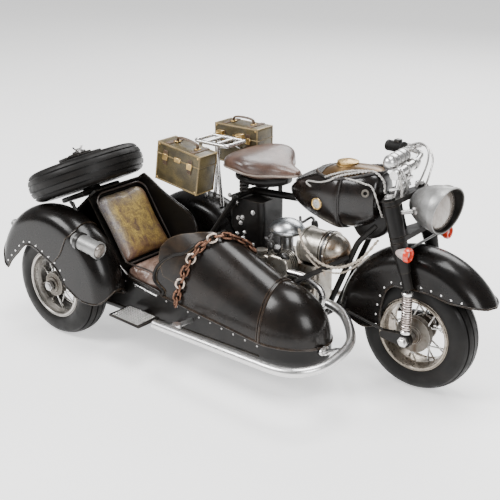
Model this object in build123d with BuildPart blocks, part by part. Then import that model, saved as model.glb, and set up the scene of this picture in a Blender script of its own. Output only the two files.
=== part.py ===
"""Display motorcycle with a sidecar, in sheet metal: about 32 cm long, millimetres.

Frame: +X forward, +Y to the rider's left, +Z up.  The origin lies on the ground, under the
middle of the outline.  The motorcycle stands on the +Y side and the sidecar on the -Y side.
"""
from build123d import *
from math import asin, cos, degrees, radians, sin, sqrt
import os

os.makedirs("parts", exist_ok=True)

# ---- driving dimensions ----
WHEEL_R = 36.0        # outer radius of every tyre
TYRE_HALF = 10.0      # half the tyre's width
RIM_R = 22.8          # bead seat radius
RIM_HALF = 8.6
SPOKE_R = 0.55
SPOKE_COUNT = 20
AXLE_R = 2.0
AXLE_GAP = 0.05       # running clearance of hub on axle

BIKE_Y = 32.0         # mid-plane of the motorcycle
CAR_Y = -14.0         # mid-plane of the sidecar body
SIDE_Y = -49.0        # mid-plane of the sidecar wheel
FRONT_X = 112.0       # axle stations
REAR_X = -58.0
SIDE_X = -111.0

HEAD_X = 92.0         # middle of the steering head
HEAD_Z = 104.0
RAKE = 16.7           # degrees back from upright
HEAD_HALF = 9.0       # half the head tube's length
STEM_R = 2.6
HEAD_R = 4.2
FORK_HALF = 17.4      # fork leg to mid-plane
FORK_LEAD = 8.5       # fork legs ahead of the steering axis
LEG_R = 3.0

FENDER_R = 53.0       # crown radius of all three fenders
FENDER_HALF = 13.4
SHEET = 1.0           # thickness of the fender sheet

CAR_HALF = 22.5       # half width of the sidecar body
CAR_WALL = 1.2
BELLY_Z = 18.0
NOSE_X = 44.0         # where the nose cap meets the cowl
NOSE_LENGTH = 33.0
TAIL_X = -134.0       # back end of the sidecar body

PIPE_R = 2.0          # bumper bar
TUBE_R = 1.8          # frame tubes

HEAD = Plane(
    origin=(HEAD_X, BIKE_Y, HEAD_Z),
    x_dir=(cos(radians(RAKE)), 0, sin(radians(RAKE))),
    z_dir=(-sin(radians(RAKE)), 0, cos(radians(RAKE))),
)


# ---- helpers ----
def save(node, name):
    """Label a finished piece and write it."""
    node.part.label = name
    export_step(node.part, f"parts/{name}.step")


def steer(forward, left, up):
    """A point given in the steering head's own directions."""
    point = HEAD.from_local_coords(Vector(forward, left, up))
    return (point.X, point.Y, point.Z)


def bike(x, y, z):
    """A point given from the motorcycle's mid-plane."""
    return (x, BIKE_Y + y, z)


def car(x, y, z):
    """A point given from the sidecar's mid-plane."""
    return (x, CAR_Y + y, z)


def rod(start, end, radius, end_radius=None):
    """A straight round bar, or a tapered one."""
    reach = Vector(*end) - Vector(*start)
    base = Plane(origin=start, z_dir=reach)
    with BuildPart() as bar:
        with BuildSketch(base):
            Circle(radius)
        if end_radius is None:
            extrude(amount=reach.length)
        else:
            with BuildSketch(base.offset(reach.length)):
                Circle(end_radius)
            loft()
    return bar.part


def tube(points, radius, bends):
    """A round bar along straight runs joined by tangent arcs."""
    with BuildPart() as bar:
        with BuildLine() as route:
            FilletPolyline(*points, radius=bends)
        with BuildSketch(Plane(origin=route.line @ 0, z_dir=route.line % 0)):
            Circle(radius)
        sweep(path=route.line)
    return bar.part


def ball(centre, radius):
    """A plain sphere."""
    with BuildPart() as sphere:
        with Locations(centre):
            Sphere(radius)
    return sphere.part


def across(x, y, z=WHEEL_R):
    """The half plane through a wheel's axis: local x runs along the axle, local y outward."""
    return Plane(origin=(x, y, z), x_dir=(0, 1, 0), z_dir=(1, 0, 0))


def axle_line(x, y, z=WHEEL_R):
    """The axis that a wheel turns about."""
    return Axis((x, y, z), (0, 1, 0))


# ---- wheels ----
def tyre(plane, axis, outer=WHEEL_R):
    """A tyre: bulging side walls, a crowned tread, two rain grooves and two shoulder lines."""
    bead = outer - WHEEL_R + RIM_R
    with BuildPart() as ring:
        with BuildSketch(plane):
            with BuildLine():
                Line((-RIM_HALF, bead), (RIM_HALF, bead))
                ThreePointArc((RIM_HALF, bead), (TYRE_HALF, outer - 7.4), (8.3, outer - 2.8))
                ThreePointArc((8.3, outer - 2.8), (5.0, outer - 0.8), (0, outer))
                ThreePointArc((0, outer), (-5.0, outer - 0.8), (-8.3, outer - 2.8))
                ThreePointArc((-8.3, outer - 2.8), (-TYRE_HALF, outer - 7.4), (-RIM_HALF, bead))
            make_face()
            with Locations((-2.2, outer), (2.2, outer)):
                Rectangle(0.9, 1.6, mode=Mode.SUBTRACT)
            with Locations((-6.2, outer - 1.6), (6.2, outer - 1.6)):
                Rectangle(0.9, 1.6, mode=Mode.SUBTRACT)
        revolve(axis=axis)
    return ring


def rim(plane, axis, outer=WHEEL_R):
    """A drop-centre rim with a rolled bead on each edge, for a tyre of the given outer radius."""
    bead = outer - WHEEL_R + RIM_R
    with BuildPart() as ring:
        with BuildSketch(plane):
            with BuildLine():
                Polyline(
                    (-RIM_HALF, bead), (RIM_HALF, bead), (RIM_HALF, bead - 1.8), (6.4, bead - 2.4),
                    (3.4, bead - 3.6), (-3.4, bead - 3.6), (-6.4, bead - 2.4), (-RIM_HALF, bead - 1.8),
                    close=True,
                )
            make_face()
            with Locations((-RIM_HALF + 0.1, bead - 1.4), (RIM_HALF - 0.1, bead - 1.4)):
                Circle(1.0)
        revolve(axis=axis)
    return ring


def hub(plane, axis, drum_r):
    """A hub: a flange at +y, a brake drum of radius drum_r at -y, and a bore for the axle."""
    bore = AXLE_R + AXLE_GAP
    with BuildPart() as body:
        with BuildSketch(plane):
            with BuildLine():
                Polyline(
                    (-10.5, bore), (-10.5, 5.0), (-9.0, 5.6), (-8.6, drum_r), (-4.6, drum_r),
                    (-4.2, 5.0), (4.0, 4.4), (4.6, 8.0), (6.2, 8.0), (6.8, 4.6),
                    (10.5, 4.0), (10.5, bore), close=True,
                )
            make_face()
        revolve(axis=axis)
    return body


def spokes(plane, drum_r):
    """Wire spokes from both hub flanges to the rim, laced in alternate directions."""
    wires = []
    for index in range(SPOKE_COUNT):
        side = 1 if index % 2 else -1
        leading = (index // 2) % 2 == 1
        lace = radians(24 if leading else -24)
        depth = 0.7 if leading else -0.7
        angle = radians(360 / SPOKE_COUNT * index)
        inner = 7.4 if side > 0 else drum_r - 0.6
        foot = angle + lace * (1.0 if side > 0 else 0.55)
        start = plane.from_local_coords(Vector((5.2 + depth) * side, inner * cos(foot), inner * sin(foot)))
        end = plane.from_local_coords(Vector((1.7 + depth) * side, 19.6 * cos(angle), 19.6 * sin(angle)))
        wires.append(rod(start, end, SPOKE_R))
    with BuildPart() as group:
        add(wires)
    return group


def wheel(name, x, y, drum_r):
    """The four pieces of one road wheel."""
    plane = across(x, y)
    axis = axle_line(x, y)
    save(tyre(plane, axis), f"{name}_tyre")
    save(rim(plane, axis), f"{name}_rim")
    save(hub(plane, axis, drum_r), f"{name}_hub")
    save(spokes(plane, drum_r), f"{name}_spokes")


wheel("front", FRONT_X, BIKE_Y, 11.0)
wheel("rear", REAR_X, BIKE_Y, 11.0)
wheel("side", SIDE_X, SIDE_Y, 8.0)


def axle(x, y, spans):
    """A plain axle along Y.  Each span is a low end, a high end, a radius and a corner count."""
    with BuildPart() as shaft:
        for low, high, radius, corners in spans:
            with BuildSketch(Plane(origin=(x, y + low, WHEEL_R), x_dir=(1, 0, 0), z_dir=(0, 1, 0))):
                if corners:
                    RegularPolygon(radius, corners)
                else:
                    Circle(radius)
            extrude(amount=high - low)
    return shaft


NUT_R = 3.4
COLLAR_R = 3.0
ROAD_AXLE = [(-21.5, 21.5, AXLE_R, 0), (-21.0, -19.0, NUT_R, 6), (19.0, 21.0, NUT_R, 6),
             (-15.1, -10.8, COLLAR_R, 0), (10.8, 15.1, COLLAR_R, 0)]
SIDE_AXLE = [(-14.0, 24.0, AXLE_R, 0), (-13.4, -11.2, NUT_R, 6), (10.8, 12.2, COLLAR_R, 0)]
save(axle(FRONT_X, BIKE_Y, ROAD_AXLE), "front_axle")
save(axle(REAR_X, BIKE_Y, ROAD_AXLE), "rear_axle")
save(axle(SIDE_X, SIDE_Y, SIDE_AXLE), "side_axle")


# ---- frame of the motorcycle ----
STAY_HALF = 16.8
with BuildPart() as head_tube:
    with BuildSketch(HEAD.offset(-HEAD_HALF)):
        Circle(HEAD_R)
    extrude(amount=2 * HEAD_HALF)
backbone = rod(steer(-3.6, 0, 1), bike(-14, 0, 98), 2.4)
seat_bar = rod(bike(-14, -STAY_HALF, 98), bike(-14, STAY_HALF, 98), TUBE_R)
stays = []
for side in (-1, 1):
    stays.append(rod(bike(-14, side * STAY_HALF, 98), bike(REAR_X, side * STAY_HALF, WHEEL_R), TUBE_R))
    stays.append(rod(bike(REAR_X, side * STAY_HALF - 1.6, WHEEL_R),
                     bike(REAR_X, side * STAY_HALF + 1.6, WHEEL_R), 4.6))
    stays.append(ball(bike(-14, side * STAY_HALF, 98), 2.2))
with BuildPart() as main_frame:
    add(head_tube.part)
    add(backbone)
    add(seat_bar)
    add(stays)
    with BuildSketch(HEAD.offset(-HEAD_HALF)):
        Circle(STEM_R + AXLE_GAP)
    extrude(amount=2 * HEAD_HALF, mode=Mode.SUBTRACT)
    with BuildSketch(Plane(origin=bike(REAR_X, -20, WHEEL_R), x_dir=(1, 0, 0), z_dir=(0, 1, 0))):
        Circle(AXLE_R)
    extrude(amount=40, mode=Mode.SUBTRACT)
save(main_frame, "main_frame")

cradle_tubes = []
for side in (-1, 1):
    cradle_tubes.append(tube(
        [bike(82, side * 5.0, 96.5), bike(71, side * 7, 84), bike(49, side * 7, 30),
         bike(38, side * 9, 21), bike(8, side * 13, 20), bike(REAR_X + 5.6, side * 16.4, 34)],
        TUBE_R, [20, 24, 14, 30]))
cross_tie = rod(bike(8, -13, 20), bike(8, 13, 20), 1.4)
with BuildPart() as engine_cradle:
    add(cradle_tubes)
    add(cross_tie)
save(engine_cradle, "engine_cradle")

# ---- engine ----
BARREL_Y = -4.0
BARREL_Z = 73.0
BARREL_R = 11.2
CYLINDER_X = 24.0
CYLINDER_Z = 62.0
with BuildPart() as crankcase:
    with BuildSketch(Plane.XY.offset(28)):
        with Locations(bike(24.5, 0, 0)[:2]):
            RectangleRounded(39, 23, 5)
    extrude(amount=34)
    with BuildSketch(Plane(origin=bike(32, BARREL_Y, BARREL_Z), x_dir=(0, 1, 0), z_dir=(1, 0, 0))):
        Circle(BARREL_R)
    extrude(amount=18.4)
    with BuildSketch(Plane(origin=bike(30, BARREL_Y, BARREL_Z), x_dir=(0, 1, 0), z_dir=(1, 0, 0))):
        Circle(BARREL_R - 2.5)
    extrude(amount=2)
    fillet(crankcase.faces().sort_by(Axis.Z)[0].edges(), 3)
    with BuildSketch(Plane(origin=bike(14, -11.5, 42), x_dir=(1, 0, 0), z_dir=(0, -1, 0))):
        Circle(8)
    extrude(amount=2.5)
save(crankcase, "crankcase")

with BuildPart() as engine_cover:
    with BuildSketch(Plane(origin=bike(50.4, BARREL_Y, BARREL_Z), x_dir=(1, 0, 0), z_dir=(0, -1, 0))):
        with BuildLine():
            Polyline((0, 0), (0, BARREL_R + 0.9), (2.0, BARREL_R + 0.9), (2.0, BARREL_R - 0.3))
            EllipticalCenterArc((2.0, 0), 11.0, BARREL_R - 0.3, 0, arc_size=90)
            Line((13.0, 0), (0, 0))
        make_face()
    revolve(axis=Axis(bike(50.4, BARREL_Y, BARREL_Z), (1, 0, 0)))
save(engine_cover, "engine_cover")


def cylinder_barrel(side):
    """A finned cylinder that points straight out from the crankcase."""
    base = Plane(origin=bike(CYLINDER_X, side * 11.5, CYLINDER_Z), x_dir=(1, 0, 0), z_dir=(0, side, 0))
    with BuildPart() as barrel:
        with BuildSketch(base):
            Circle(6)
        extrude(amount=9)
        for fin in range(5):
            with BuildSketch(base.offset(0.6 + 1.7 * fin)):
                Circle(7.6)
            extrude(amount=0.9)
    return barrel.part


def cylinder_head(side):
    """A rocker cover with a rounded face, and the spark plug that stands on it."""
    base = Plane(origin=bike(CYLINDER_X, side * 20.5, CYLINDER_Z), x_dir=(1, 0, 0), z_dir=(0, side, 0))
    collar_base = bike(CYLINDER_X - 3, side * 22.4, CYLINDER_Z + 6)
    collar_plane = Plane(origin=collar_base, z_dir=(-0.3, side * 0.2, 1))
    with BuildPart() as head:
        with BuildSketch(base):
            RectangleRounded(16, 14.5, 5)
        extrude(amount=5)
        fillet(head.faces().sort_by(Axis.Y)[-1 if side > 0 else 0].edges(), 2)
        with BuildSketch(collar_plane):
            Circle(1.5)
        extrude(amount=5)
        with BuildSketch(collar_plane.offset(4)):
            Circle(2.2)
        extrude(amount=4)
    return head.part


barrels = [cylinder_barrel(side) for side in (-1, 1)]
heads = [cylinder_head(side) for side in (-1, 1)]
with BuildPart() as cylinders:
    add(barrels)
save(cylinders, "cylinders")
with BuildPart() as cylinder_heads:
    add(heads)
save(cylinder_heads, "cylinder_heads")

with BuildPart() as air_cleaner:
    with BuildSketch(Plane(origin=bike(15.5, -5, 64), x_dir=(1, 0, 0), z_dir=(0, -1, 0))):
        with BuildLine():
            Polyline((0, -2), (6, -2), (6, 2), (4, 5), (4, 11), (9.6, 13), (10.6, 15))
            Spline((10.6, 15), (9.2, 19.0), (5.4, 21.6), (0, 22.4), tangents=((0, 1), (-1, 0)))
            Line((0, 22.4), (0, -2))
        make_face()
    revolve(axis=Axis(bike(15.5, -5, 64), (0, 0, 1)))
save(air_cleaner, "air_cleaner")

near_pipe = tube([bike(32, -22.6, 60), bike(44, -22, 60), bike(56, -19.6, 52), bike(52, -18.8, 34),
                  bike(34, -18.4, 31)], 2.1, [9, 8, 8])
near_silencer = rod(bike(35, -18.4, 31), bike(-4, -18.4, 31), 3.1)
far_pipe = tube([bike(32, 22.6, 60), bike(44, 22, 60), bike(56, 21, 52), bike(52, 21.6, 34),
                 bike(24, 23.6, 29)], 2.1, [9, 8, 8])
far_silencer = rod(bike(25, 23.6, 29), bike(-74, 25.6, 29), 3.4, 4.4)
with BuildPart() as exhaust:
    add(near_pipe)
    add(near_silencer)
    add(far_pipe)
    add(far_silencer)
save(exhaust, "exhaust")

# ---- tank, saddle, side box ----
# each section: station, height of its middle, half width, half height
TANK_SECTIONS = [
    (17, 105.5, 1.8, 1.8), (28, 106.5, 8.6, 9.4), (42, 107.6, 13.6, 15.2),
    (58, 108.6, 16.4, 19.6), (72, 110.4, 15.2, 17.2), (82.0, 112.4, 11.0, 12.6),
]
SADDLE_SECTIONS = [
    (-29, 115.0, 9.0, 3.5), (-19, 117.0, 21.0, 7.6), (-8, 117.0, 24.0, 8.4),
    (2, 115.4, 16.0, 6.8), (11, 114.0, 7.2, 4.4), (19, 113.8, 3.0, 2.2),
]


def oval_loft(sections):
    """A smooth body through oval sections that stand across the motorcycle."""
    with BuildPart() as body:
        for x, z, half_width, half_height in sections:
            with BuildSketch(Plane(origin=bike(x, 0, z), x_dir=(0, 1, 0), z_dir=(1, 0, 0))):
                Ellipse(half_width, half_height)
        loft()
    return body.part


with BuildPart() as fuel_tank:
    add(oval_loft(TANK_SECTIONS))
    add(rod(steer(-3.6, 0, 1), bike(-14, 0, 98), 2.8), mode=Mode.SUBTRACT)
save(fuel_tank, "fuel_tank")

filler = rod(bike(60, 2, 126.5), bike(60, 2, 130.2), 5.0)
filler_top = rod(bike(60, 2, 130.2), bike(60, 2, 131.4), 3.4)
badges = []
for side in (-1, 1):
    badges.append(rod(bike(47, side * 12.6, 105), bike(47, side * 15.9, 105.4), 3.4))
with BuildPart() as tank_fittings:
    add(filler)
    add(filler_top)
    add(badges)
    add(oval_loft(TANK_SECTIONS), mode=Mode.SUBTRACT)
save(tank_fittings, "tank_fittings")

with BuildPart() as saddle:
    add(oval_loft(SADDLE_SECTIONS))
save(saddle, "saddle")

springs = []
for side in (-1, 1):
    springs.append(rod(bike(-14, side * 9, 99.7), bike(-14, side * 9, 109.7), 1.3))
    for turn in range(4):
        low = 100.2 + 2.3 * turn
        springs.append(rod(bike(-14, side * 9, low), bike(-14, side * 9, low + 1.2), 3.2))
springs.append(rod(bike(8, 0, 101.6), bike(8, 0, 108.2), 1.4))
with BuildPart() as saddle_springs:
    add(springs)
save(saddle_springs, "saddle_springs")

with BuildPart() as side_box:
    with BuildSketch(Plane.XY.offset(54)):
        with Locations(bike(-10.5, 0, 0)[:2]):
            RectangleRounded(27, 25, 4)
    extrude(amount=41.5)
    with BuildSketch(Plane(origin=bike(REAR_X, -20, WHEEL_R), x_dir=(1, 0, 0), z_dir=(0, 1, 0))):
        Circle(FENDER_R + 0.5)
    extrude(amount=40, mode=Mode.SUBTRACT)
save(side_box, "side_box")

# ---- fenders ----


def fender(x, y, half, outline):
    """A rounded arch of sheet about a wheel, cut to a side outline given from the axle."""
    foot = 8.0
    shoulder = FENDER_R - 10.0
    with BuildPart() as arch:
        with BuildSketch(across(x, y)):
            with BuildLine():
                Line((half, foot), (half, shoulder))
                EllipticalCenterArc((0, shoulder), half, 10.0, 0, arc_size=180)
                Line((-half, shoulder), (-half, foot))
                Line((-half, foot), (-half + SHEET, foot))
                Line((-half + SHEET, foot), (-half + SHEET, shoulder))
                EllipticalCenterArc((0, shoulder), half - SHEET, 10.0 - SHEET, 0, arc_size=180)
                Line((half - SHEET, shoulder), (half - SHEET, foot))
                Line((half - SHEET, foot), (half, foot))
            make_face()
        revolve(axis=axle_line(x, y))
        with BuildSketch(Plane(origin=(x, y, WHEEL_R), x_dir=(1, 0, 0), z_dir=(0, -1, 0))):
            with BuildLine():
                Polyline(*outline, close=True)
            make_face()
        extrude(amount=20, both=True, mode=Mode.INTERSECT)
    return arch


FRONT_OUTLINE = [(60, 27), (1, 29), (-11, 29), (-16.5, 21), (-19.5, 11), (-19, 3.5), (-31, -2.5),
                 (-46, 4.5), (-60, 8), (-60, 60), (60, 60)]
REAR_OUTLINE = [(60, 8), (40, 4), (22, 10), (12, 24), (-12, 26), (-34, 20), (-44, 6), (-60, 4),
                (-60, 60), (60, 60)]
SIDE_OUTLINE = [(-60, 24), (-47, 22), (-42, 4), (-29, 17), (-16, 27), (-4, 23), (7, 14), (15, 5.5),
                (30, -2), (46, 0), (60, 9), (60, 60), (-60, 60)]
SIDE_FENDER_Y = SIDE_Y - 0.6
SIDE_FENDER_HALF = 12.6
save(fender(FRONT_X, BIKE_Y, FENDER_HALF, FRONT_OUTLINE), "front_fender")
save(fender(REAR_X, BIKE_Y, FENDER_HALF, REAR_OUTLINE), "rear_fender")
save(fender(SIDE_X, SIDE_FENDER_Y, SIDE_FENDER_HALF, SIDE_OUTLINE), "side_fender")

# ---- luggage ----
RACK_Z = 126.5
RACK_HALF = 9.5
CASE_PITCH = 8.5
RIGHT_CASE = Plane(
    origin=bike(-53, -21, 112.5),
    x_dir=(cos(radians(CASE_PITCH)), 0, -sin(radians(CASE_PITCH))),
    z_dir=(sin(radians(CASE_PITCH)), 0, cos(radians(CASE_PITCH))),
)
LEFT_CASE = Plane(origin=bike(-41.5, 25, 120))
CASE_LENGTH = 37.0
CASE_WIDTH = 17.6
CASE_HEIGHT = 27.0

rack_bars = [tube([bike(-40, -RACK_HALF, RACK_Z), bike(-28, -RACK_HALF, RACK_Z),
                   bike(-27, RACK_HALF, RACK_Z + 0.1), bike(-55, RACK_HALF, RACK_Z)], 1.3, [3, 3]),
             tube([bike(-40.5, -RACK_HALF, RACK_Z), bike(-55, -RACK_HALF, RACK_Z),
                   bike(-55.1, RACK_HALF + 0.1, RACK_Z)], 1.3, 3),
             rod(bike(-40.6, -RACK_HALF, RACK_Z), bike(-39.9, -RACK_HALF, RACK_Z), 1.3),
             rod(bike(-46, -RACK_HALF, RACK_Z), bike(-46, RACK_HALF, RACK_Z), 1.1),
             rod(bike(-37, -RACK_HALF, RACK_Z), bike(-37, RACK_HALF, RACK_Z), 1.1)]
for side in (-1, 1):
    case_face = 12.2 if side < 0 else 16.2
    for x in (-50, -36):
        rail_foot = bike(x, side * RACK_HALF, RACK_Z - 4)
        rack_bars.append(rod(rail_foot, bike(x, side * case_face, RACK_Z - 8), 1.0))
        rail_top = bike(x, side * RACK_HALF, RACK_Z)
        rail_low = bike(x, side * RACK_HALF, RACK_Z - 4.6)
        rack_bars.append(rod(rail_top, rail_low, 1.3))
        foot_z = WHEEL_R + sqrt((FENDER_R - 0.5) ** 2 - (x - REAR_X) ** 2)
        rack_bars.append(rod(bike(x, side * RACK_HALF, RACK_Z - 4), bike(x, side * 5, foot_z), 1.3))
with BuildPart() as luggage_rack:
    add(rack_bars)
save(luggage_rack, "luggage_rack")


def case(plane):
    """A small travelling case with rounded edges."""
    with BuildPart() as box:
        with BuildSketch(plane.offset(-CASE_HEIGHT / 2)):
            RectangleRounded(CASE_LENGTH, CASE_WIDTH, 2.0)
        extrude(amount=CASE_HEIGHT)
        fillet(box.faces().sort_by(Axis.Z)[-1].edges(), 1.2)
        fillet(box.faces().sort_by(Axis.Z)[0].edges(), 1.2)
    return box


save(case(RIGHT_CASE), "right_case")
save(case(LEFT_CASE), "left_case")


def handle(plane):
    """A strap handle on top of a case, standing on two feet."""
    top = CASE_HEIGHT / 2
    points = [(-9, 0, top), (-9.1, 0, top + 3.6), (9.1, 0, top + 3.6), (9, 0, top)]
    route = [tuple(plane.from_local_coords(Vector(*point))) for point in points]
    return tube(route, 1.0, 1.6)


handles = [handle(RIGHT_CASE), handle(LEFT_CASE)]
with BuildPart() as case_handles:
    add(handles)
save(case_handles, "case_handles")

# ---- wiring held along the tank and the engine ----
WIRE_R = 0.6
tank_wire = tube([bike(34, -8.5, 116.4), bike(42, -9.6, 120.0), bike(52, -10.4, 123.9),
                  bike(62, -9.4, 127.4), bike(74, -8.6, 127.2), bike(81, -7.4, 124.8),
                  bike(84.6, -6.8, 119.6)], WIRE_R, 8)
loop_wire = tube([bike(30, -17.6, 78), bike(35, -20.5, 68), bike(47, -22.6, 61.5),
                  bike(61, -22.8, 62), bike(74, -21.6, 69), bike(84, -17.8, 81),
                  bike(88.4, -11.6, 93)], WIRE_R, 10)
with BuildPart() as loom_wires:
    add(tank_wire)
    add(loop_wire)
save(loom_wires, "loom_wires")

# ---- sidecar body ----
COWL_BACK = -44.0
COWL_TOP = 64.5       # height of the cowl's crown at the nose cap
COWL_RISE = 0.427     # how much the crown rises for each millimetre further back
SEAM_Z = 33.0         # height of the bead between cowl and belly at the nose
SEAM_RISE = 0.118


def seam(x):
    """Height of the bead line at a station."""
    return SEAM_Z + SEAM_RISE * max(0.0, NOSE_X - x)


def crown(x):
    """Height of the cowl's crown at a station."""
    return COWL_TOP + COWL_RISE * (NOSE_X - x)


def car_hull(inset):
    """The belly and side walls as one solid tub with a rounded nose, drawn in by inset."""
    half = CAR_HALF - inset
    tail = TAIL_X + inset
    with BuildPart() as hull:
        with BuildSketch(Plane.XY.offset(BELLY_Z + inset)):
            with BuildLine():
                Line(car(tail, -half, 0)[:2], car(NOSE_X, -half, 0)[:2])
                EllipticalCenterArc(car(NOSE_X, 0, 0)[:2], NOSE_LENGTH - inset, half, -90, arc_size=180)
                Line(car(NOSE_X, half, 0)[:2], car(tail, half, 0)[:2])
                Line(car(tail, half, 0)[:2], car(tail, -half, 0)[:2])
            make_face()
        extrude(amount=90)
        fillet(hull.edges().filter_by(Axis.Z).group_by(Axis.X)[0], 12 - inset)
        fillet(hull.faces().sort_by(Axis.Z)[0].edges(), 8 - inset)
    return hull.part


def profile(points, low, high):
    """A side outline of the sidecar, extruded from low to high, measured from its mid-plane."""
    with BuildPart() as block:
        with BuildSketch(Plane(origin=car(0, high, 0), x_dir=(1, 0, 0), z_dir=(0, -1, 0))):
            with BuildLine():
                Polyline(*points, close=True)
            make_face()
        extrude(amount=high - low)
    return block.part


DECK_BACK = (-136.0, 60.2)
DECK_TOP = (-92.0, 99.0)
SEAM_FRONT = (90.0, seam(90))
ABOVE = [(90, 130), (-150, 130), (-150, 60.2)]
NEAR_RIM = [DECK_BACK, (-115, 78.7), (-107, 77.6), (-98, 73), (-88, 66), (-80, 60), (-71, 53.5),
            (-65, 49.5), (-58, 47), (-40, 45), (-34, seam(-34)), (NOSE_X, SEAM_Z), SEAM_FRONT]
FAR_RIM = [DECK_BACK, DECK_TOP, (-86, 99.5), (-73, 92), (-61, 86.6), (-50, 82), (-44, 76),
           (-41.5, 67), (-41.5, 52), (-34, seam(-34)), (NOSE_X, SEAM_Z), SEAM_FRONT]
NEAR_WALL = -CAR_HALF + 2.0
near_cut = profile(NEAR_RIM + ABOVE, -30, NEAR_WALL)
far_cut = profile(FAR_RIM + ABOVE, -30, 30)
cavity = profile([(-150, 45.9), (-90.4, 98.4), (-90.4, 140), (90, 140), (90, 0), (-150, 0)], -30, 30)
seat_board = profile([(-68, 31), (-34, 31), (-34, 33.6), (-68, 33.6)], -CAR_HALF + 0.6, CAR_HALF - 0.6)
back_board = profile([(-95.6, 92.6), (-67.9, 51.6), (-67.2, 32.0), (-68.6, 32.0), (-69.3, 52.4),
                      (-96.8, 93.4)], -CAR_HALF + 0.6, CAR_HALF - 0.6)
with BuildPart() as sidecar_tub:
    add(car_hull(0))
    add(car_hull(CAR_WALL) & cavity, mode=Mode.SUBTRACT)
    add(near_cut, mode=Mode.SUBTRACT)
    add(far_cut, mode=Mode.SUBTRACT)
    add(seat_board)
    add(back_board)
    add(rod((SIDE_X, -36.5, WHEEL_R), (SIDE_X, -27.0, WHEEL_R), 5.0))
    add(rod((SIDE_X, -40.0, WHEEL_R), (SIDE_X, -20.0, WHEEL_R), AXLE_R), mode=Mode.SUBTRACT)
save(sidecar_tub, "sidecar_tub")


def cowl_body(inset):
    """The half-round cowl as a solid, drawn in by inset."""
    with BuildPart() as body:
        for x in (COWL_BACK, NOSE_X):
            with BuildSketch(Plane(origin=car(x, 0, seam(x)), x_dir=(0, 1, 0), z_dir=(1, 0, 0))):
                with BuildLine():
                    half = CAR_HALF - inset
                    EllipticalCenterArc((0, 0), half, crown(x) - seam(x) - inset, 0, arc_size=180)
                    Line((-half, 0), (half, 0))
                make_face()
        loft()
    return body.part


RIM_CURVE = [(-30, 38), (-31.5, 46), (-38.6, 51), (-38.0, 58), (-32.5, 65), (-25.0, 70),
             (-17.0, 73), (-11.0, 78.5), (-3.0, 84)]
with BuildPart() as cowl_cut:
    with BuildSketch(Plane(origin=car(0, 30, 0), x_dir=(1, 0, 0), z_dir=(0, -1, 0))):
        with BuildLine():
            Spline(*RIM_CURVE)
            Polyline((-3.0, 84), (0, 92), (0, 110), (-60, 110), (-60, 30), (-30, 30), (-30, 38))
        make_face()
    extrude(amount=60)
with BuildPart() as sidecar_cowl:
    add(cowl_body(0))
    add(cowl_body(CAR_WALL), mode=Mode.SUBTRACT)
    add(cowl_cut.part, mode=Mode.SUBTRACT)
save(sidecar_cowl, "sidecar_cowl")


def nose_ball(inset):
    """The nose cap's full ellipsoid, drawn in by inset."""
    with BuildPart() as body:
        Sphere(10)
        scale(by=((NOSE_LENGTH - inset) / 10, (CAR_HALF - inset) / 10, (COWL_TOP - SEAM_Z - inset) / 10))
    return Pos(*car(NOSE_X, 0, SEAM_Z)) * body.part


with BuildPart() as nose_cap:
    add(nose_ball(0))
    add(nose_ball(CAR_WALL), mode=Mode.SUBTRACT)
    with BuildSketch(Plane.XY.offset(SEAM_Z)):
        with Locations(car(NOSE_X + 20, 0, 0)[:2]):
            Rectangle(40, 60)
    extrude(amount=40, mode=Mode.INTERSECT)
save(nose_cap, "nose_cap")

SEAT_HALF = 21.0
SEAT_BACK_SIDE = [(-88.5, 97.4), (-60.4, 55.8), (-66.4, 51.6), (-94.6, 93.2)]
seat_back_block = profile(SEAT_BACK_SIDE, -CAR_HALF + 0.2, SEAT_HALF)
with BuildPart() as seat_back:
    add(seat_back_block)
    fillet(seat_back.edges().filter_by(Axis.Y, reverse=True), 2.0)
save(seat_back, "seat_back")
seat_block = profile([(-66, 34), (-66, 50.9), (-60.2, 55.0), (-41, 54.2), (-36.6, 50.4), (-35.8, 41),
                      (-36, 34)], -SEAT_HALF, SEAT_HALF)
with BuildPart() as seat_cushion:
    add(seat_block)
save(seat_cushion, "seat_cushion")

# ---- what holds the sidecar, and what is fixed to it ----
strut_rods = [
    rod(bike(34, -11.0, 21.6), car(34, CAR_HALF - 0.3, 24.5), 1.8),
    rod(bike(-20, -16.2, 26.0), car(-20, CAR_HALF - 0.1, 27), 1.8),
    rod(bike(66.0, -8.8, 73.6), car(44.6, 12.6, 60.4), 1.6),
]
with BuildPart() as sidecar_struts:
    add(strut_rods)
save(sidecar_struts, "sidecar_struts")

bumper_line = [(-20, -57, 34), (93.5, -64.0, 37), (96.5, -18, 42), (72, 9.6, 45.4), (60.5, 10.2, 46.4)]
bumper_tube = tube(bumper_line, PIPE_R, [24, 30, 8])
bumper_parts = [
    bumper_tube,
    rod((-8, -57.8, 34.3), (-8, -36.5, 32.5), 1.3),
    rod((-8, -50.0, 34.6), (-8, -50.0, 32.2), 3.0),
    rod((76.0, -20, 30.6), (95.2, -26, 40.9), 1.2),
    rod((-20, -57, 34), (-20, -36.6, 26), 1.4),
    rod((61.6, 10.0, 46.2), (57.0, 5.6, 42.4), 1.4),
]
with BuildPart() as bumper_bar:
    add(bumper_parts)
save(bumper_bar, "bumper_bar")

with BuildPart() as step_plate:
    with BuildSketch(Plane.XY.offset(27.6)):
        with BuildLine():
            Polyline((-57.5, -57.5), (-30.5, -60.5), (-31.5, -41.5), (-60.5, -38.5), close=True)
        make_face()
    extrude(amount=2.6)
    fillet(step_plate.edges().filter_by(Axis.Z), 1.5)
    with BuildSketch(Plane.XY.offset(25)):
        with Locations((-45, -44.5)):
            Rectangle(8, 16)
    extrude(amount=2.6)
save(step_plate, "step_plate")

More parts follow.
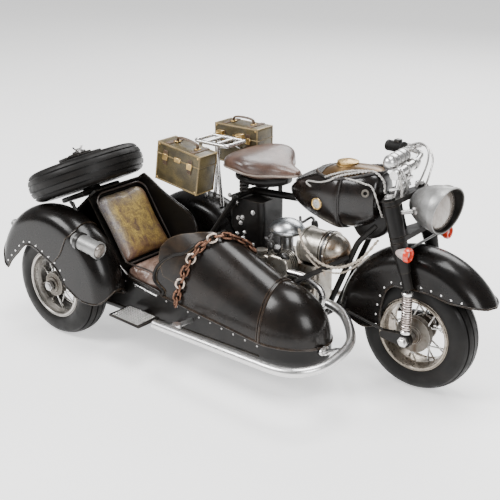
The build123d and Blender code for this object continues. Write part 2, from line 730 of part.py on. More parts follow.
# lamps on the sidecar's fender: a headed barrel that looks forward, and a small one that looks back
lamp_parts = [
    rod((-84, -58.2, 74.3), (-62, -58.2, 71.4), 5.0),
    rod((-82, -58.2, 74.0), (-76.6, -58.2, 73.3), 5.9),
    rod((-158.6, -50, 68.0), (-152.0, -50, 65.0), 2.8),
]
with BuildPart() as fender_core:
    with BuildSketch(across(SIDE_X, SIDE_FENDER_Y)):
        with BuildLine():
            Polyline((SIDE_FENDER_HALF, FENDER_R - 10), (SIDE_FENDER_HALF, 0), (-SIDE_FENDER_HALF, 0),
                     (-SIDE_FENDER_HALF, FENDER_R - 10))
            EllipticalCenterArc((0, FENDER_R - 10), SIDE_FENDER_HALF, 10.0, 0, arc_size=180)
        make_face()
    revolve(axis=axle_line(SIDE_X, SIDE_FENDER_Y))
with BuildPart() as marker_lamps:
    add(lamp_parts)
    add(fender_core.part, mode=Mode.SUBTRACT)
save(marker_lamps, "marker_lamps")

# ---- spare wheel, laid back on the rear deck ----
SPARE_R = 39.6
SPARE_TILT = 24.0
SPARE = (-118.0, CAR_Y - 3, 102.0)
SPARE_AXIS = Vector(-sin(radians(SPARE_TILT)), 0, cos(radians(SPARE_TILT)))
spare_plane = Plane(
    origin=SPARE,
    x_dir=SPARE_AXIS,
    z_dir=(cos(radians(SPARE_TILT)), 0, sin(radians(SPARE_TILT))),
)
spare_axis = Axis(SPARE, SPARE_AXIS)


def along_spare(distance, lean=0.0, sideways=0.0):
    """A point on the spare wheel's axis, or beside it."""
    point = Vector(*SPARE) + SPARE_AXIS * distance + spare_plane.z_dir * lean + Vector(0, sideways, 0)
    return (point.X, point.Y, point.Z)


save(tyre(spare_plane, spare_axis, SPARE_R), "spare_tyre")
with BuildPart() as spare_rim:
    add(rim(spare_plane, spare_axis, SPARE_R).part)
    with BuildSketch(Plane(origin=along_spare(-2.0), z_dir=SPARE_AXIS)):
        Circle(SPARE_R - WHEEL_R + RIM_R - 3.2)
        Circle(2.9, mode=Mode.SUBTRACT)
    extrude(amount=1.6)
save(spare_rim, "spare_rim")

mount_parts = [
    rod(along_spare(-21.2), along_spare(12.6), 2.8),
    rod(along_spare(-15.0), along_spare(-2.1), 6.5, 5.0),
    rod(along_spare(11.6, 0, -15), along_spare(11.6, 0, 15), 1.5),
    rod(along_spare(12.6), along_spare(15.0), 3.2),
    rod(along_spare(14.2, 0, -5), along_spare(14.2, 0, 5), 1.2),
]
with BuildPart() as spare_mount:
    add(mount_parts)
save(spare_mount, "spare_mount")

# ---- chain laid over the back edge of the cowl ----
LINK_R = 2.5
LINK_WIRE = 0.6
LINK_PITCH = 3.35
LINK_LIFT = 2.95


def cowl_point(turn):
    """Where the chain's line lies on the cowl, turn degrees up from the near bead."""
    x = -19.5 + 0.20 * turn + 0.0006 * turn ** 2
    angle = radians(180 - turn)
    return Vector(*car(x, CAR_HALF * cos(angle), seam(x) + (crown(x) - seam(x)) * sin(angle)))


def cowl_out(turn):
    """The cowl's outward direction there."""
    x = cowl_point(turn).X
    angle = radians(180 - turn)
    return Vector(0, cos(angle) / CAR_HALF, sin(angle) / (crown(x) - seam(x))).normalized()


link_turns = [1.0]
for step in range(2, 1160):
    turn = step * 0.1
    if (cowl_point(turn) - cowl_point(link_turns[-1])).length >= LINK_PITCH:
        link_turns.append(turn)
links = []
for index, turn in enumerate(link_turns):
    forward = (cowl_point(turn + 1) - cowl_point(turn - 1)).normalized()
    outward = cowl_out(turn)
    lean = outward.rotate(Axis((0, 0, 0), forward), 45 if index % 2 else -45)
    middle = cowl_point(turn) + outward * LINK_LIFT
    links.append(Plane(origin=middle, x_dir=forward, z_dir=lean) * Torus(LINK_R, LINK_WIRE))
with BuildPart() as cowl_chain:
    add(links)
save(cowl_chain, "cowl_chain")

# ---- steering: yokes, fork legs, springs ----
YOKE_LOW = -12.0
YOKE_THICK = 2.8


def yoke(up):
    """One flat yoke that ties the stem to both fork legs."""
    with BuildPart() as plate:
        with BuildSketch(HEAD.offset(up)):
            with Locations((0, 0)):
                Circle(5.0)
            with Locations((FORK_LEAD, -FORK_HALF), (FORK_LEAD, FORK_HALF)):
                Circle(4.8)
            make_hull()
        extrude(amount=YOKE_THICK)
    return plate.part


yokes = [yoke(YOKE_LOW), yoke(-YOKE_LOW - YOKE_THICK)]
with BuildPart() as fork_yokes:
    add(yokes)
    add(rod(steer(0, 0, YOKE_LOW), steer(0, 0, -YOKE_LOW), STEM_R))
    for side in (-1, 1):
        with BuildSketch(HEAD.offset(-14)):
            with Locations((FORK_LEAD, side * FORK_HALF)):
                Circle(LEG_R)
        extrude(amount=28, mode=Mode.SUBTRACT)
save(fork_yokes, "fork_yokes")

LEG_END = -40.0
leg_rods = []
for side in (-1, 1):
    y = side * FORK_HALF
    leg_rods.append(rod(steer(FORK_LEAD, y, 13.6), steer(FORK_LEAD, y, LEG_END), LEG_R))
    leg_rods.append(rod(steer(FORK_LEAD, y, YOKE_LOW - 0.3), steer(FORK_LEAD, y, -30), 5.0, 3.5))
    leg_rods.append(rod(steer(FORK_LEAD, y, -8.8), steer(FORK_LEAD, y, 8.8), 4.8))
    leg_rods.append(rod(steer(FORK_LEAD, y, LEG_END + 1), bike(FRONT_X, y, WHEEL_R), 1.5))
link_plates = []
for side in (-1, 1):
    with BuildPart() as plate:
        leg_side = bike(0, side * FORK_HALF + 1.5, 0)
        with BuildSketch(Plane(origin=leg_side, x_dir=(1, 0, 0), z_dir=(0, -1, 0))):
            with Locations((FRONT_X, WHEEL_R)):
                Circle(4.2)
            with Locations((FRONT_X - 14, WHEEL_R)):
                Circle(2.6)
            make_hull()
        extrude(amount=3.0)
    link_plates.append(plate.part)
with BuildPart() as fork_legs:
    add(leg_rods)
    add(link_plates)
    with BuildSketch(Plane(origin=bike(FRONT_X, -25, WHEEL_R), x_dir=(1, 0, 0), z_dir=(0, 1, 0))):
        Circle(AXLE_R)
    extrude(amount=50, mode=Mode.SUBTRACT)
save(fork_legs, "fork_legs")

spring_parts = []
for side in (-1, 1):
    foot = Vector(*bike(FRONT_X, side * FORK_HALF, WHEEL_R))
    rise = Vector(*steer(FORK_LEAD, side * FORK_HALF, LEG_END + 1)) - foot
    top = foot + rise * 0.9
    bottom = foot + rise * 0.15
    spring_dir = (top - bottom).normalized()
    spring_length = (top - bottom).length
    base = Plane(origin=bottom, z_dir=spring_dir)
    with BuildPart() as coil:
        with BuildSketch(base):
            Circle(2.4)
        extrude(amount=spring_length)
        for turn in range(11):
            with BuildSketch(base.offset(0.2 + turn * 2.0)):
                Circle(3.1)
            extrude(amount=1.1)
        with BuildSketch(base.offset(-1)):
            Circle(1.5)
        extrude(amount=spring_length + 2, mode=Mode.SUBTRACT)
    spring_parts.append(coil.part)
with BuildPart() as fork_springs:
    add(spring_parts)
save(fork_springs, "fork_springs")

stay_parts = []
for side in (-1, 1):
    stay_parts.append(rod(bike(70, side * 14.3, 41.5), bike(98, side * 15.1, 36.6), 0.9))
    stay_parts.append(rod(bike(70, side * 13.4, 41.5), bike(70, side * 15.6, 41.5), 1.4))
stay_parts.append(rod(bike(97, 0, 86.6), bike(96.6, 0, 92.6), 2.2))
with BuildPart() as fender_stays:
    add(stay_parts)
save(fender_stays, "fender_stays")

# ---- lamps on the fork ----
LAMP_X = 119.0
LAMP_Z = 113.0
LAMP_R = 14.0
LENS_R = 12.2
LENS_CROWN = 2.4
LENS_BALL_R = (LENS_R ** 2 + LENS_CROWN ** 2) / (2 * LENS_CROWN)
LAMP_TURN = radians(10)   # the lamp looks a little to the right
lamp_axis = Axis(bike(LAMP_X, 0, LAMP_Z), (cos(LAMP_TURN), -sin(LAMP_TURN), 0))
LAMP = Plane(
    origin=bike(LAMP_X, 0, LAMP_Z),
    x_dir=(cos(LAMP_TURN), -sin(LAMP_TURN), 0),
    z_dir=(-sin(LAMP_TURN), -cos(LAMP_TURN), 0),
)
with BuildPart() as headlamp_shell:
    with BuildSketch(LAMP):
        with BuildLine():
            Spline((-20, 0), (-19, 3.4), (-13.6, 9.2), (-6, 12.8), (1.5, LAMP_R))
            Polyline((1.5, LAMP_R), (4.6, LAMP_R), (4.6, LAMP_R - 1.1), (1.2, LAMP_R - 1.1))
            Spline((1.2, LAMP_R - 1.1), (-6, 11.6), (-13.0, 8.2), (-17.8, 3.0), (-18.8, 0))
            Line((-18.8, 0), (-20, 0))
        make_face()
    revolve(axis=lamp_axis)
    for side in (-1, 1):
        shell_side = LAMP.from_local_coords(Vector(-7.6, -1.0, -11.6 * side))
        add(rod(steer(FORK_LEAD + 0.6, side * (FORK_HALF - 3.2), 4), tuple(shell_side), 1.1))
save(headlamp_shell, "headlamp_shell")

with BuildPart() as headlamp_lens:
    with BuildSketch(LAMP):
        with BuildLine():
            Polyline((-1.4, 0), (-1.4, LENS_R), (-0.4, LENS_R))
            CenterArc((2.0 - LENS_BALL_R, 0), LENS_BALL_R, 0, degrees(asin(LENS_R / LENS_BALL_R)))
            Line((2.0, 0), (-1.4, 0))
        make_face()
    revolve(axis=lamp_axis)
save(headlamp_lens, "headlamp_lens")

SIGNAL_X = 110.7
SIGNAL_Z = 91.2
SIGNAL_HALF = 23.8
signal_parts = [rod(bike(SIGNAL_X, -SIGNAL_HALF, SIGNAL_Z), bike(SIGNAL_X, SIGNAL_HALF, SIGNAL_Z), 0.9)]
for side in (-1, 1):
    y = side * SIGNAL_HALF
    signal_parts.append(rod(bike(SIGNAL_X - 4, y, SIGNAL_Z), bike(SIGNAL_X + 1.6, y, SIGNAL_Z), 1.6, 3.8))
    signal_parts.append(rod(bike(SIGNAL_X + 1.6, y, SIGNAL_Z), bike(SIGNAL_X + 4.4, y, SIGNAL_Z), 3.9))
    fork_side = bike(108.4, side * FORK_HALF, SIGNAL_Z)
    signal_parts.append(rod(fork_side, bike(SIGNAL_X, side * FORK_HALF, SIGNAL_Z), 1.2))
with BuildPart() as turn_signals:
    add(signal_parts)
save(turn_signals, "turn_signals")

# ---- handlebar ----
BAR_X = 96.0
BAR_R = 2.7
bar_right = bike(BAR_X, -13.5, 131.0)
bar_left = bike(BAR_X, 12.0, 133.4)
bar_parts = [
    rod(bar_right, bar_left, BAR_R),
    ball(bar_left, BAR_R),
    tube([bike(BAR_X, 11.0, 133.4), bike(BAR_X, 18.4, 137.0), bike(88, 21.5, 137.2),
          bike(76, 24.5, 136.6)], 1.6, [4, 4]),
]
for side in (-1, 1):
    bar_parts.append(rod(steer(5.5, side * 5, -YOKE_LOW), bike(BAR_X - 0.6, side * 5, 130.6), 1.7))
lever = tube([bike(88.0, 21.4, 139.2), bike(92.5, 26.0, 138.6), bike(84, 30.5, 137.6),
              bike(73, 32.2, 136.8)], 0.8, [3, 4])
lever_clamp = rod(bike(87.0, 21.3, 137.8), bike(88.4, 21.6, 139.5), 1.3)
with BuildPart() as handlebar:
    add(bar_parts)
    add(lever)
    add(lever_clamp)
save(handlebar, "handlebar")

pod_parts = [rod(bike(89.6, -7, 136.2), bike(89.6, 8, 137.2), 4.2),
             ball(bike(89.6, -7, 136.2), 4.2), ball(bike(89.6, 8, 137.2), 4.2)]
with BuildPart() as instrument_pod:
    add(pod_parts)
    add(rod(bar_right, bar_left, BAR_R), mode=Mode.SUBTRACT)
save(instrument_pod, "instrument_pod")

grip_parts = [rod(bike(81.4, 23.15, 136.87), bike(69.5, 26.1, 136.27), 3.3)]
with BuildPart() as grips:
    add(grip_parts)
    add(bar_parts[2], mode=Mode.SUBTRACT)
save(grips, "grips")

cable_parts = [
    tube([bike(89, 20.8, 141.6), bike(98, 20, 143.2), bike(102.4, 15, 137), bike(102.2, 9, 126),
          bike(100.0, 6, 120.4)], WIRE_R, [4, 4, 5]),
    tube([bike(96.5, -9, 134.0), bike(100.6, -10.4, 133.4), bike(102.2, -8.4, 126), bike(100.2, -6, 120.4)],
         WIRE_R, [3, 4]),
]
with BuildPart() as control_cables:
    add(cable_parts)
save(control_cables, "control_cables")
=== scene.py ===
import math

import bmesh
import bpy
from mathutils import Matrix, Vector


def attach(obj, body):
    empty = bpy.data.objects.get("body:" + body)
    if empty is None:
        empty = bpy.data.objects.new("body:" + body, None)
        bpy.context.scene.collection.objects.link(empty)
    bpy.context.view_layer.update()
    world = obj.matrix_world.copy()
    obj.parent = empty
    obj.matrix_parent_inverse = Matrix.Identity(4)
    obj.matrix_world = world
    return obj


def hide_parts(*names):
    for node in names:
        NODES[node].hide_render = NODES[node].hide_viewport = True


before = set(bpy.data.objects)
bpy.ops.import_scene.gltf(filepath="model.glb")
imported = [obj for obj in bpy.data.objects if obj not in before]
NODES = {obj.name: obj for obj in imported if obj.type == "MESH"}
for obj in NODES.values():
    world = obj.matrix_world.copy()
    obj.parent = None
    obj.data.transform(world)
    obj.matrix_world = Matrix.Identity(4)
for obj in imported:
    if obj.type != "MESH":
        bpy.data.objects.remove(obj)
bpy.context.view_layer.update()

MM = 0.001

# ---- places on the object, millimetres ----
BIKE_Y = 32.0                # middle of the motorcycle
CAR_Y = -14.0                # middle of the sidecar's hull
CAR_HALF = 22.5              # half the hull's width
SIDE_Y = -49.6               # middle of the sidecar's fender
WHEEL_Z = 36.0               # height of the three axles
FRONT_X, REAR_X, SIDE_X = 112, -58, -111
FORK_HALF = 17.4             # from the motorcycle's middle to a fork leg
FORK_LEAD = 8.5              # fork legs ahead of the steering axis
HEAD_X, HEAD_Z = 92, 104     # middle of the steering head
RAKE = math.radians(16.7)


# ---- frames of reference, millimetres ----
def bike(x, y, z):
    """A point given from the middle of the motorcycle."""
    return Vector((x, BIKE_Y + y, z))


def car(x, y, z):
    """A point given from the middle of the sidecar's hull."""
    return Vector((x, CAR_Y + y, z))


def steer(forward, left, up):
    """A point given in the steering head's own directions."""
    ahead = Vector((math.cos(RAKE), 0, math.sin(RAKE)))
    above = Vector((-math.sin(RAKE), 0, math.cos(RAKE)))
    return Vector((HEAD_X, BIKE_Y + left, HEAD_Z)) + ahead * forward + above * up


# ---- geometry: each shape is a list of points and a list of faces ----
def frame_along(direction):
    """Two unit vectors square to a direction."""
    direction = direction.normalized()
    hint = Vector((0, 0, 1))
    if abs(direction.dot(hint)) > 0.95:
        hint = Vector((1, 0, 0))
    side = direction.cross(hint).normalized()
    return side, side.cross(direction).normalized()


def smooth_line(points, steps):
    """Points of a Catmull-Rom curve through the given ones."""
    points = [Vector(p) for p in points]
    count = len(points)
    line = []
    for i in range(count - 1):
        a, b, c, d = points[max(i - 1, 0)], points[i], points[i + 1], points[min(i + 2, count - 1)]
        for k in range(steps):
            t = k / steps
            line.append(0.5 * ((2 * b) + (c - a) * t + (2 * a - 5 * b + 4 * c - d) * t ** 2 + (3 * b - a - 3 * c + d)
                    * t ** 3))
    line.append(points[-1])
    return line


def sweep(points, radius, sides=12, closed=False, flat=1.0):
    """A round or flattened tube along points. radius is a number or one number for each point."""
    points = [Vector(p) for p in points]
    count = len(points)
    radii = radius if isinstance(radius, (list, tuple)) else [radius] * count
    verts, faces = [], []
    side = None
    for i, p in enumerate(points):
        before = points[i - 1] if i or closed else p
        after = points[(i + 1) % count] if i < count - 1 or closed else p
        ahead = (after - before).normalized()
        if side is None:
            side, up = frame_along(ahead)
        else:
            side = (side - ahead * side.dot(ahead)).normalized()
            up = side.cross(ahead).normalized()
        for k in range(sides):
            turn = 2 * math.pi * k / sides
            verts.append(p + side * math.cos(turn) * radii[i] + up * math.sin(turn) * radii[i] * flat)
    rows = count if closed else count - 1
    for i in range(rows):
        j = (i + 1) % count
        for k in range(sides):
            n = (k + 1) % sides
            faces.append((i * sides + k, i * sides + n, j * sides + n, j * sides + k))
    if not closed:
        faces.append(tuple(range(sides - 1, -1, -1)))
        faces.append(tuple((count - 1) * sides + k for k in range(sides)))
    return verts, faces


def curve(points, steps, radius, sides=12, **settings):
    """A tube along a smooth line through points."""
    return sweep(smooth_line(points, steps), radius, sides, **settings)


def lathe(profile, origin, direction, segments, closed=False, squeeze=1.0):
    """A profile of (radius, height) pairs turned about a direction."""
    direction = Vector(direction).normalized()
    side, up = frame_along(direction)
    origin = Vector(origin)
    verts, faces, rings = [], [], []
    for r, h in profile:
        if r <= 1e-6:
            rings.append([len(verts)])
            verts.append(origin + direction * h)
            continue
        ring = []
        for k in range(segments):
            turn = 2 * math.pi * k / segments
            ring.append(len(verts))
            verts.append(origin + direction * h + side * math.cos(turn) * r + up * math.sin(turn) * r * squeeze)
        rings.append(ring)
    pairs = list(zip(rings, rings[1:]))
    if closed:
        pairs.append((rings[-1], rings[0]))
    for a, b in pairs:
        for k in range(segments):
            n = (k + 1) % segments
            if len(a) == 1 and len(b) > 1:
                faces.append((a[0], b[n], b[k]))
            elif len(b) == 1 and len(a) > 1:
                faces.append((a[k], a[n], b[0]))
            elif len(a) > 1:
                faces.append((a[k], a[n], b[n], b[k]))
    return verts, faces


def grid(rows, closed_v=False, caps=False):
    """Faces over rows of points, all the same length."""
    width = len(rows[0])
    verts = [Vector(p) for row in rows for p in row]
    faces = []
    for i in range(len(rows) - 1):
        for k in range(width if closed_v else width - 1):
            n = (k + 1) % width
            faces.append((i * width + k, i * width + n, (i + 1) * width + n, (i + 1) * width + k))
    if caps:
        faces.append(tuple(range(width - 1, -1, -1)))
        faces.append(tuple((len(rows) - 1) * width + k for k in range(width)))
    return verts, faces


def block(centre, size, x_dir=Vector((1, 0, 0)), z_dir=Vector((0, 0, 1))):
    """A box to be rounded by a bevel."""
    x_dir, z_dir = Vector(x_dir).normalized(), Vector(z_dir).normalized()
    y_dir = z_dir.cross(x_dir).normalized()
    verts = []
    for sx in (-0.5, 0.5):
        for sy in (-0.5, 0.5):
            for sz in (-0.5, 0.5):
                verts.append(Vector(centre) + x_dir * sx * size[0] + y_dir * sy * size[1] + z_dir * sz * size[2])
    faces = [(0, 1, 3, 2), (4, 6, 7, 5), (0, 4, 5, 1), (2, 3, 7, 6), (0, 2, 6, 4), (1, 5, 7, 3)]
    return verts, faces


def stud(point, out, radius, height=None):
    """A low domed rivet head."""
    height = radius * 0.7 if height is None else height
    profile = [(radius, -0.15), (radius, 0.02), (radius * 0.86, height * 0.5), (radius * 0.5, height * 0.88),
        (0, height)]
    return lathe(profile, point, out, 10)


def hex_head(point, out, radius, height):
    """A six-sided bolt head with a chamfer, on a washer."""
    nut = lathe([(0, 0), (radius, 0), (radius, height * 0.8), (radius * 0.82, height), (0, height)],
        Vector(point) + Vector(out).normalized() * 0.3, out, 6)
    washer = lathe([(0, 0), (radius * 1.25, 0), (radius * 1.25, 0.3), (0, 0.3)], point, out, 20)
    return nut, washer


def torus(centre, axis, radius, wire, stretch=0.0, along=None, segments=32):
    """A ring, or an oval link when it is stretched along a direction."""
    axis = Vector(axis).normalized()
    if along is None:
        a, b = frame_along(axis)
    else:
        a = Vector(along).normalized()
        b = axis.cross(a).normalized()
    points = []
    for k in range(segments):
        turn = 2 * math.pi * k / segments
        shift = a * stretch * (1 if math.cos(turn) >= 0 else -1)
        points.append(Vector(centre) + a * math.cos(turn) * radius + b * math.sin(turn) * radius + shift)
    return sweep(points, wire, 10, closed=True)


def mesh_object(name, points, faces):
    """A new object whose faces all look outward."""
    data = bpy.data.meshes.new(name)
    data.from_pydata([tuple(p) for p in points], [], faces)
    work = bmesh.new()
    work.from_mesh(data)
    bmesh.ops.recalc_face_normals(work, faces=work.faces)
    work.to_mesh(data)
    work.free()
    obj = bpy.data.objects.new(name, data)
    bpy.context.scene.collection.objects.link(obj)
    return obj


def modify(obj, kind, **settings):
    """A modifier with its settings."""
    modifier = obj.modifiers.new(kind.lower(), kind)
    for key, value in settings.items():
        setattr(modifier, key, value)
    return modifier


def piece(name, shapes, material, body="chassis", sharp=40, bevel=0.0, subdivide=0, solid=0.0, bevel_segments=2,
    replaces=None):
    """A Blender piece from shapes given in millimetres, and the CAD node that it replaces."""
    verts, faces = [], []
    for points, polygons in shapes:
        base = len(verts)
        verts.extend(p * MM for p in points)
        faces.extend(tuple(base + i for i in polygon) for polygon in polygons)
    obj = mesh_object(name, verts, faces)
    obj.data.materials.append(material)
    if solid:
        modify(obj, "SOLIDIFY", thickness=solid * MM, offset=-1, use_even_offset=True)
    if bevel:
        modify(obj, "BEVEL", width=bevel * MM, segments=bevel_segments, limit_method="ANGLE",
            angle_limit=math.radians(35))
    if subdivide:
        modify(obj, "SUBSURF", levels=subdivide, render_levels=subdivide)
    bake(obj)
    obj.data.shade_smooth()
    obj.data.set_sharp_from_angle(angle=math.radians(sharp))
    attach(obj, body)
    if replaces:
        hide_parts(replaces)
    return obj


def bake(obj):
    """Put the modifiers' result into the mesh."""
    if not obj.modifiers:
        return
    bpy.context.view_layer.update()
    graph = bpy.context.evaluated_depsgraph_get()
    data = bpy.data.meshes.new_from_object(obj.evaluated_get(graph))
    old = obj.data
    obj.modifiers.clear()
    obj.data = data
    bpy.data.meshes.remove(old)


# ---- materials ----
class Shader:
    """A node material built step by step."""

    def __init__(self, name):
        self.material = bpy.data.materials.new(name)
        self.material.use_nodes = True
        self.tree = self.material.node_tree
        self.surface = self.tree.nodes["Principled BSDF"]
        self.coords = self.add("ShaderNodeTexCoord").outputs["Object"]

    def add(self, kind, inputs=None, **settings):
        node = self.tree.nodes.new(kind)
        for key, value in settings.items():
            setattr(node, key, value)
        for key, value in (inputs or {}).items():
            if isinstance(value, bpy.types.NodeSocket):
                self.tree.links.new(value, node.inputs[key])
            else:
                node.inputs[key].default_value = value
        return node

    def noise(self, scale, detail=4.0, rough=0.6, distortion=0.0, vector=None):
        node = self.add("ShaderNodeTexNoise", {"Vector": vector or self.coords, "Scale": scale, "Detail": detail,
                "Roughness": rough, "Distortion": distortion})
        return node.outputs["Fac"]

    def voronoi(self, scale):
        node = self.add("ShaderNodeTexVoronoi", {"Vector": self.coords, "Scale": scale}, feature="DISTANCE_TO_EDGE")
        return node.outputs["Distance"]

    def stretched(self, scale):
        node = self.add("ShaderNodeMapping", {"Vector": self.coords, "Scale": scale})
        return node.outputs["Vector"]

    def span(self, value, low, high, out_low=0.0, out_high=1.0):
        node = self.add("ShaderNodeMapRange", {"Value": value, "From Min": low, "From Max": high, "To Min": out_low,
                "To Max": out_high})
        return node.outputs["Result"]

    def math(self, operation, a, b):
        node = self.add("ShaderNodeMath", {0: a, 1: b}, operation=operation)
        node.use_clamp = operation in ("MULTIPLY", "ADD", "SUBTRACT", "MAXIMUM")
        return node.outputs[0]

    def mix(self, factor, a, b):
        a = (*a, 1) if isinstance(a, tuple) and len(a) == 3 else a
        b = (*b, 1) if isinstance(b, tuple) and len(b) == 3 else b
        node = self.add("ShaderNodeMix", data_type="RGBA")
        for key, value in ((0, factor), (6, a), (7, b)):
            if isinstance(value, bpy.types.NodeSocket):
                self.tree.links.new(value, node.inputs[key])
            else:
                node.inputs[key].default_value = value
        return node.outputs[2]

    def tint(self, mask, amount, a, b):
        """a, with a share of b where the mask is 1."""
        return self.mix(self.math("MULTIPLY", mask, amount), a, b)

    def edges(self, radius, low, high):
        """1 on outer edges and corners."""
        rounded = self.add("ShaderNodeBevel", {"Radius": radius * MM}, samples=4).outputs["Normal"]
        plain = self.add("ShaderNodeNewGeometry").outputs["Normal"]
        dot = self.add("ShaderNodeVectorMath", {0: rounded, 1: plain}, operation="DOT_PRODUCT").outputs["Value"]
        return self.span(dot, 1 - low, 1 - high)

    def painted_hollow_shade(self, distance):
        """1 in hollow places and where parts meet, from ambient occlusion: the mask for painted shade."""
        node = self.add("ShaderNodeAmbientOcclusion", {"Distance": distance * MM}, samples=4)
        return self.span(node.outputs["AO"], 0.75, 0.25)

    def relief(self, height, strength, distance, normal=None):
        inputs = {"Height": height, "Strength": strength, "Distance": distance * MM}
        if normal is not None:
            inputs["Normal"] = normal
        return self.add("ShaderNodeBump", inputs).outputs["Normal"]

    def set(self, **values):
        names = {"color": "Base Color", "rough": "Roughness", "metal": "Metallic", "coat": "Coat Weight",
            "coat_rough": "Coat Roughness", "normal": "Normal", "sheen": "Sheen Weight",
            "specular": "Specular IOR Level", "glow": "Emission Color", "glow_strength": "Emission Strength"}
        for key, value in values.items():
            socket = self.surface.inputs[names[key]]
            if isinstance(value, bpy.types.NodeSocket):
                self.tree.links.new(value, socket)
            elif isinstance(value, tuple):
                socket.default_value = (*value, 1)
            else:
                socket.default_value = value
        return self.material


def aged_paint(name, dark, light, worn, rough=(0.22, 0.36), amount=0.45, coat=0.22, patch=38.0, metal=0.0):
    """Brushed-on dark lacquer over sheet metal: cloudy tone, worn edges, fine pits and rubbed streaks."""
    s = Shader(name)
    cloud = s.span(s.noise(patch, 5, 0.62, 0.6), 0.42, 0.68)
    streak = s.span(s.noise(1.0, 4, 0.7, 0.2, s.stretched((160, 420, 900))), 0.5, 0.78)
    color = s.mix(cloud, dark, light)
    color = s.tint(streak, 0.03, color, worn)
    chips = s.span(s.noise(310, 6, 0.7), 0.44, 0.56)
    rub = s.math("MULTIPLY", s.edges(0.9, 0.004, 0.10), s.math("ADD", chips, 0.25))
    color = s.tint(rub, amount, color, worn)
    # painted shade: near-black laid into hollow places and where parts meet
    color = s.tint(s.painted_hollow_shade(2.2), 0.7, color, (0.006, 0.005, 0.004))
    fine = s.noise(900, 3, 0.6)
    roughness = s.span(s.noise(120, 5, 0.65), 0.3, 0.72, *rough)
    normal = s.relief(fine, 0.05, 0.05)
    normal = s.relief(s.noise(110, 3, 0.5), 0.05, 0.2, normal)
    return s.set(color=color, rough=roughness, normal=normal, metal=metal, coat=coat, coat_rough=0.18, specular=0.16)


METAL_GRAIN = 500.0


def bare_metal(name, bright, stain, rough, spots, metal=1.0, specks=0.3, dents=0.05):
    """Plated or bare metal with dark spots, a grain and painted shade in the corners."""
    s = Shader(name)
    patch = s.span(s.noise(95, 6, 0.7, 0.4), 0.46, 0.72)
    speck = s.span(s.noise(650, 4, 0.7), 0.56, 0.70)
    dirt_and_hollow_shade = s.math("MAXIMUM", s.math("MULTIPLY", patch, spots), s.math("MULTIPLY", speck, specks))
    # painted shade: the stain colour also goes into hollow places and where parts meet
    dirt_and_hollow_shade = s.math("MAXIMUM", dirt_and_hollow_shade, s.math("MULTIPLY", s.painted_hollow_shade(1.6), 0.85))
    color = s.mix(dirt_and_hollow_shade, bright, stain)
    roughness = s.span(s.noise(METAL_GRAIN, 4, 0.6), 0.3, 0.7, *rough)
    normal = s.relief(s.noise(METAL_GRAIN * 1.6, 3, 0.6), dents, 0.05)
    normal = s.relief(s.noise(180, 4, 0.5), dents * 0.6, 0.15, normal)
    return s.set(color=color, rough=roughness, metal=metal, normal=normal)


def cast(name, light, dark, stain, rough=(0.34, 0.6)):
    """Cast metal: silver on the high parts, rusty in patches, with painted shade in the low ones."""
    s = Shader(name)
    pebble = s.noise(420, 5, 0.65)
    tone = s.span(s.noise(70, 5, 0.65, 0.4), 0.35, 0.7)
    color = s.mix(tone, light, tuple(c * 0.62 for c in light))
    color = s.mix(s.span(s.noise(58, 6, 0.7, 1.0), 0.50, 0.64, 0, 0.85), color, stain)
    # painted shade: the dark colour goes into hollow places and where parts meet
    color = s.tint(s.painted_hollow_shade(3.2), 0.9, color, dark)
    color = s.tint(s.edges(0.5, 0.01, 0.14), 0.5, color, (0.72, 0.68, 0.62))
    normal = s.relief(pebble, 0.18, 0.12)
    return s.set(color=color, rough=s.span(pebble, 0.3, 0.7, *rough), metal=0.85, normal=normal)


def leather(name, low, high, dark, grain=620.0, rough=(0.32, 0.6), wear=0.55, patch=46.0, coat=0.12, painted_highlight_and_brown_sides=False):
    """Grained hide, rubbed bright in the middle and dark in creases and along its edges, with painted shade in hollow
    places.
    """
    s = Shader(name)
    cells = s.voronoi(grain)
    crease = s.noise(85, 6, 0.7, 1.2)
    tone = s.span(s.noise(patch, 6, 0.68, 0.9), 0.36, 0.66)
    color = s.mix(tone, low, high)
    color = s.mix(s.span(crease, 0.56, 0.74, 0, 0.75), color, dark)
    if painted_highlight_and_brown_sides:
        place = s.add("ShaderNodeSeparateXYZ", {"Vector": s.coords}).outputs
        # painted highlight: pale grey over the top and the near side of the seat back
        color = s.mix(s.span(place["Z"], 0.087, 0.098, 0, 0.8), color, (0.15, 0.145, 0.16))
        color = s.mix(s.span(place["Y"], -0.026, -0.035, 0, 0.75), color, (0.13, 0.135, 0.165))
        # the far side and the bottom go reddish brown
        color = s.mix(s.span(place["Y"], -0.004, 0.007, 0, 0.75), color, (0.115, 0.050, 0.030))
        color = s.mix(s.span(place["Z"], 0.070, 0.056, 0, 0.8), color, (0.125, 0.048, 0.026))
    color = s.mix(s.span(cells, 0.10, 0.0, 0, 0.55), color, dark)
    # painted shade: the dark colour goes into hollow places and where parts meet
    color = s.tint(s.painted_hollow_shade(4.0), 0.85, color, dark)
    color = s.tint(s.edges(0.8, 0.01, 0.16), wear, color, tuple(min(1, c * 1.7) for c in high))
    normal = s.relief(s.span(cells, 0, 0.28), 0.35, 0.12)
    normal = s.relief(crease, 0.22, 0.5, normal)
    return s.set(color=color, rough=s.span(crease, 0.3, 0.7, *rough), normal=normal, coat=coat, coat_rough=0.3)


def rubber(name, base, dust, rough=(0.42, 0.72), amount=0.4):
    """Old rubber with patches of dust, painted shade in the grooves and a soft skin."""
    s = Shader(name)
    tone = s.span(s.noise(60, 5, 0.7), 0.45, 0.75)
    color = s.tint(tone, amount, base, dust)
    # painted shade: darker base colour in grooves and where parts meet
    color = s.tint(s.painted_hollow_shade(1.2), 0.5, color, tuple(c * 0.4 for c in base))
    fine = s.noise(800, 4, 0.65)
    normal = s.relief(fine, 0.14, 0.08)
    normal = s.relief(s.noise(150, 3, 0.5), 0.04, 0.2, normal)
    return s.set(color=color, rough=s.span(s.noise(130, 4, 0.6), 0.3, 0.7, *rough), normal=normal, specular=0.2)


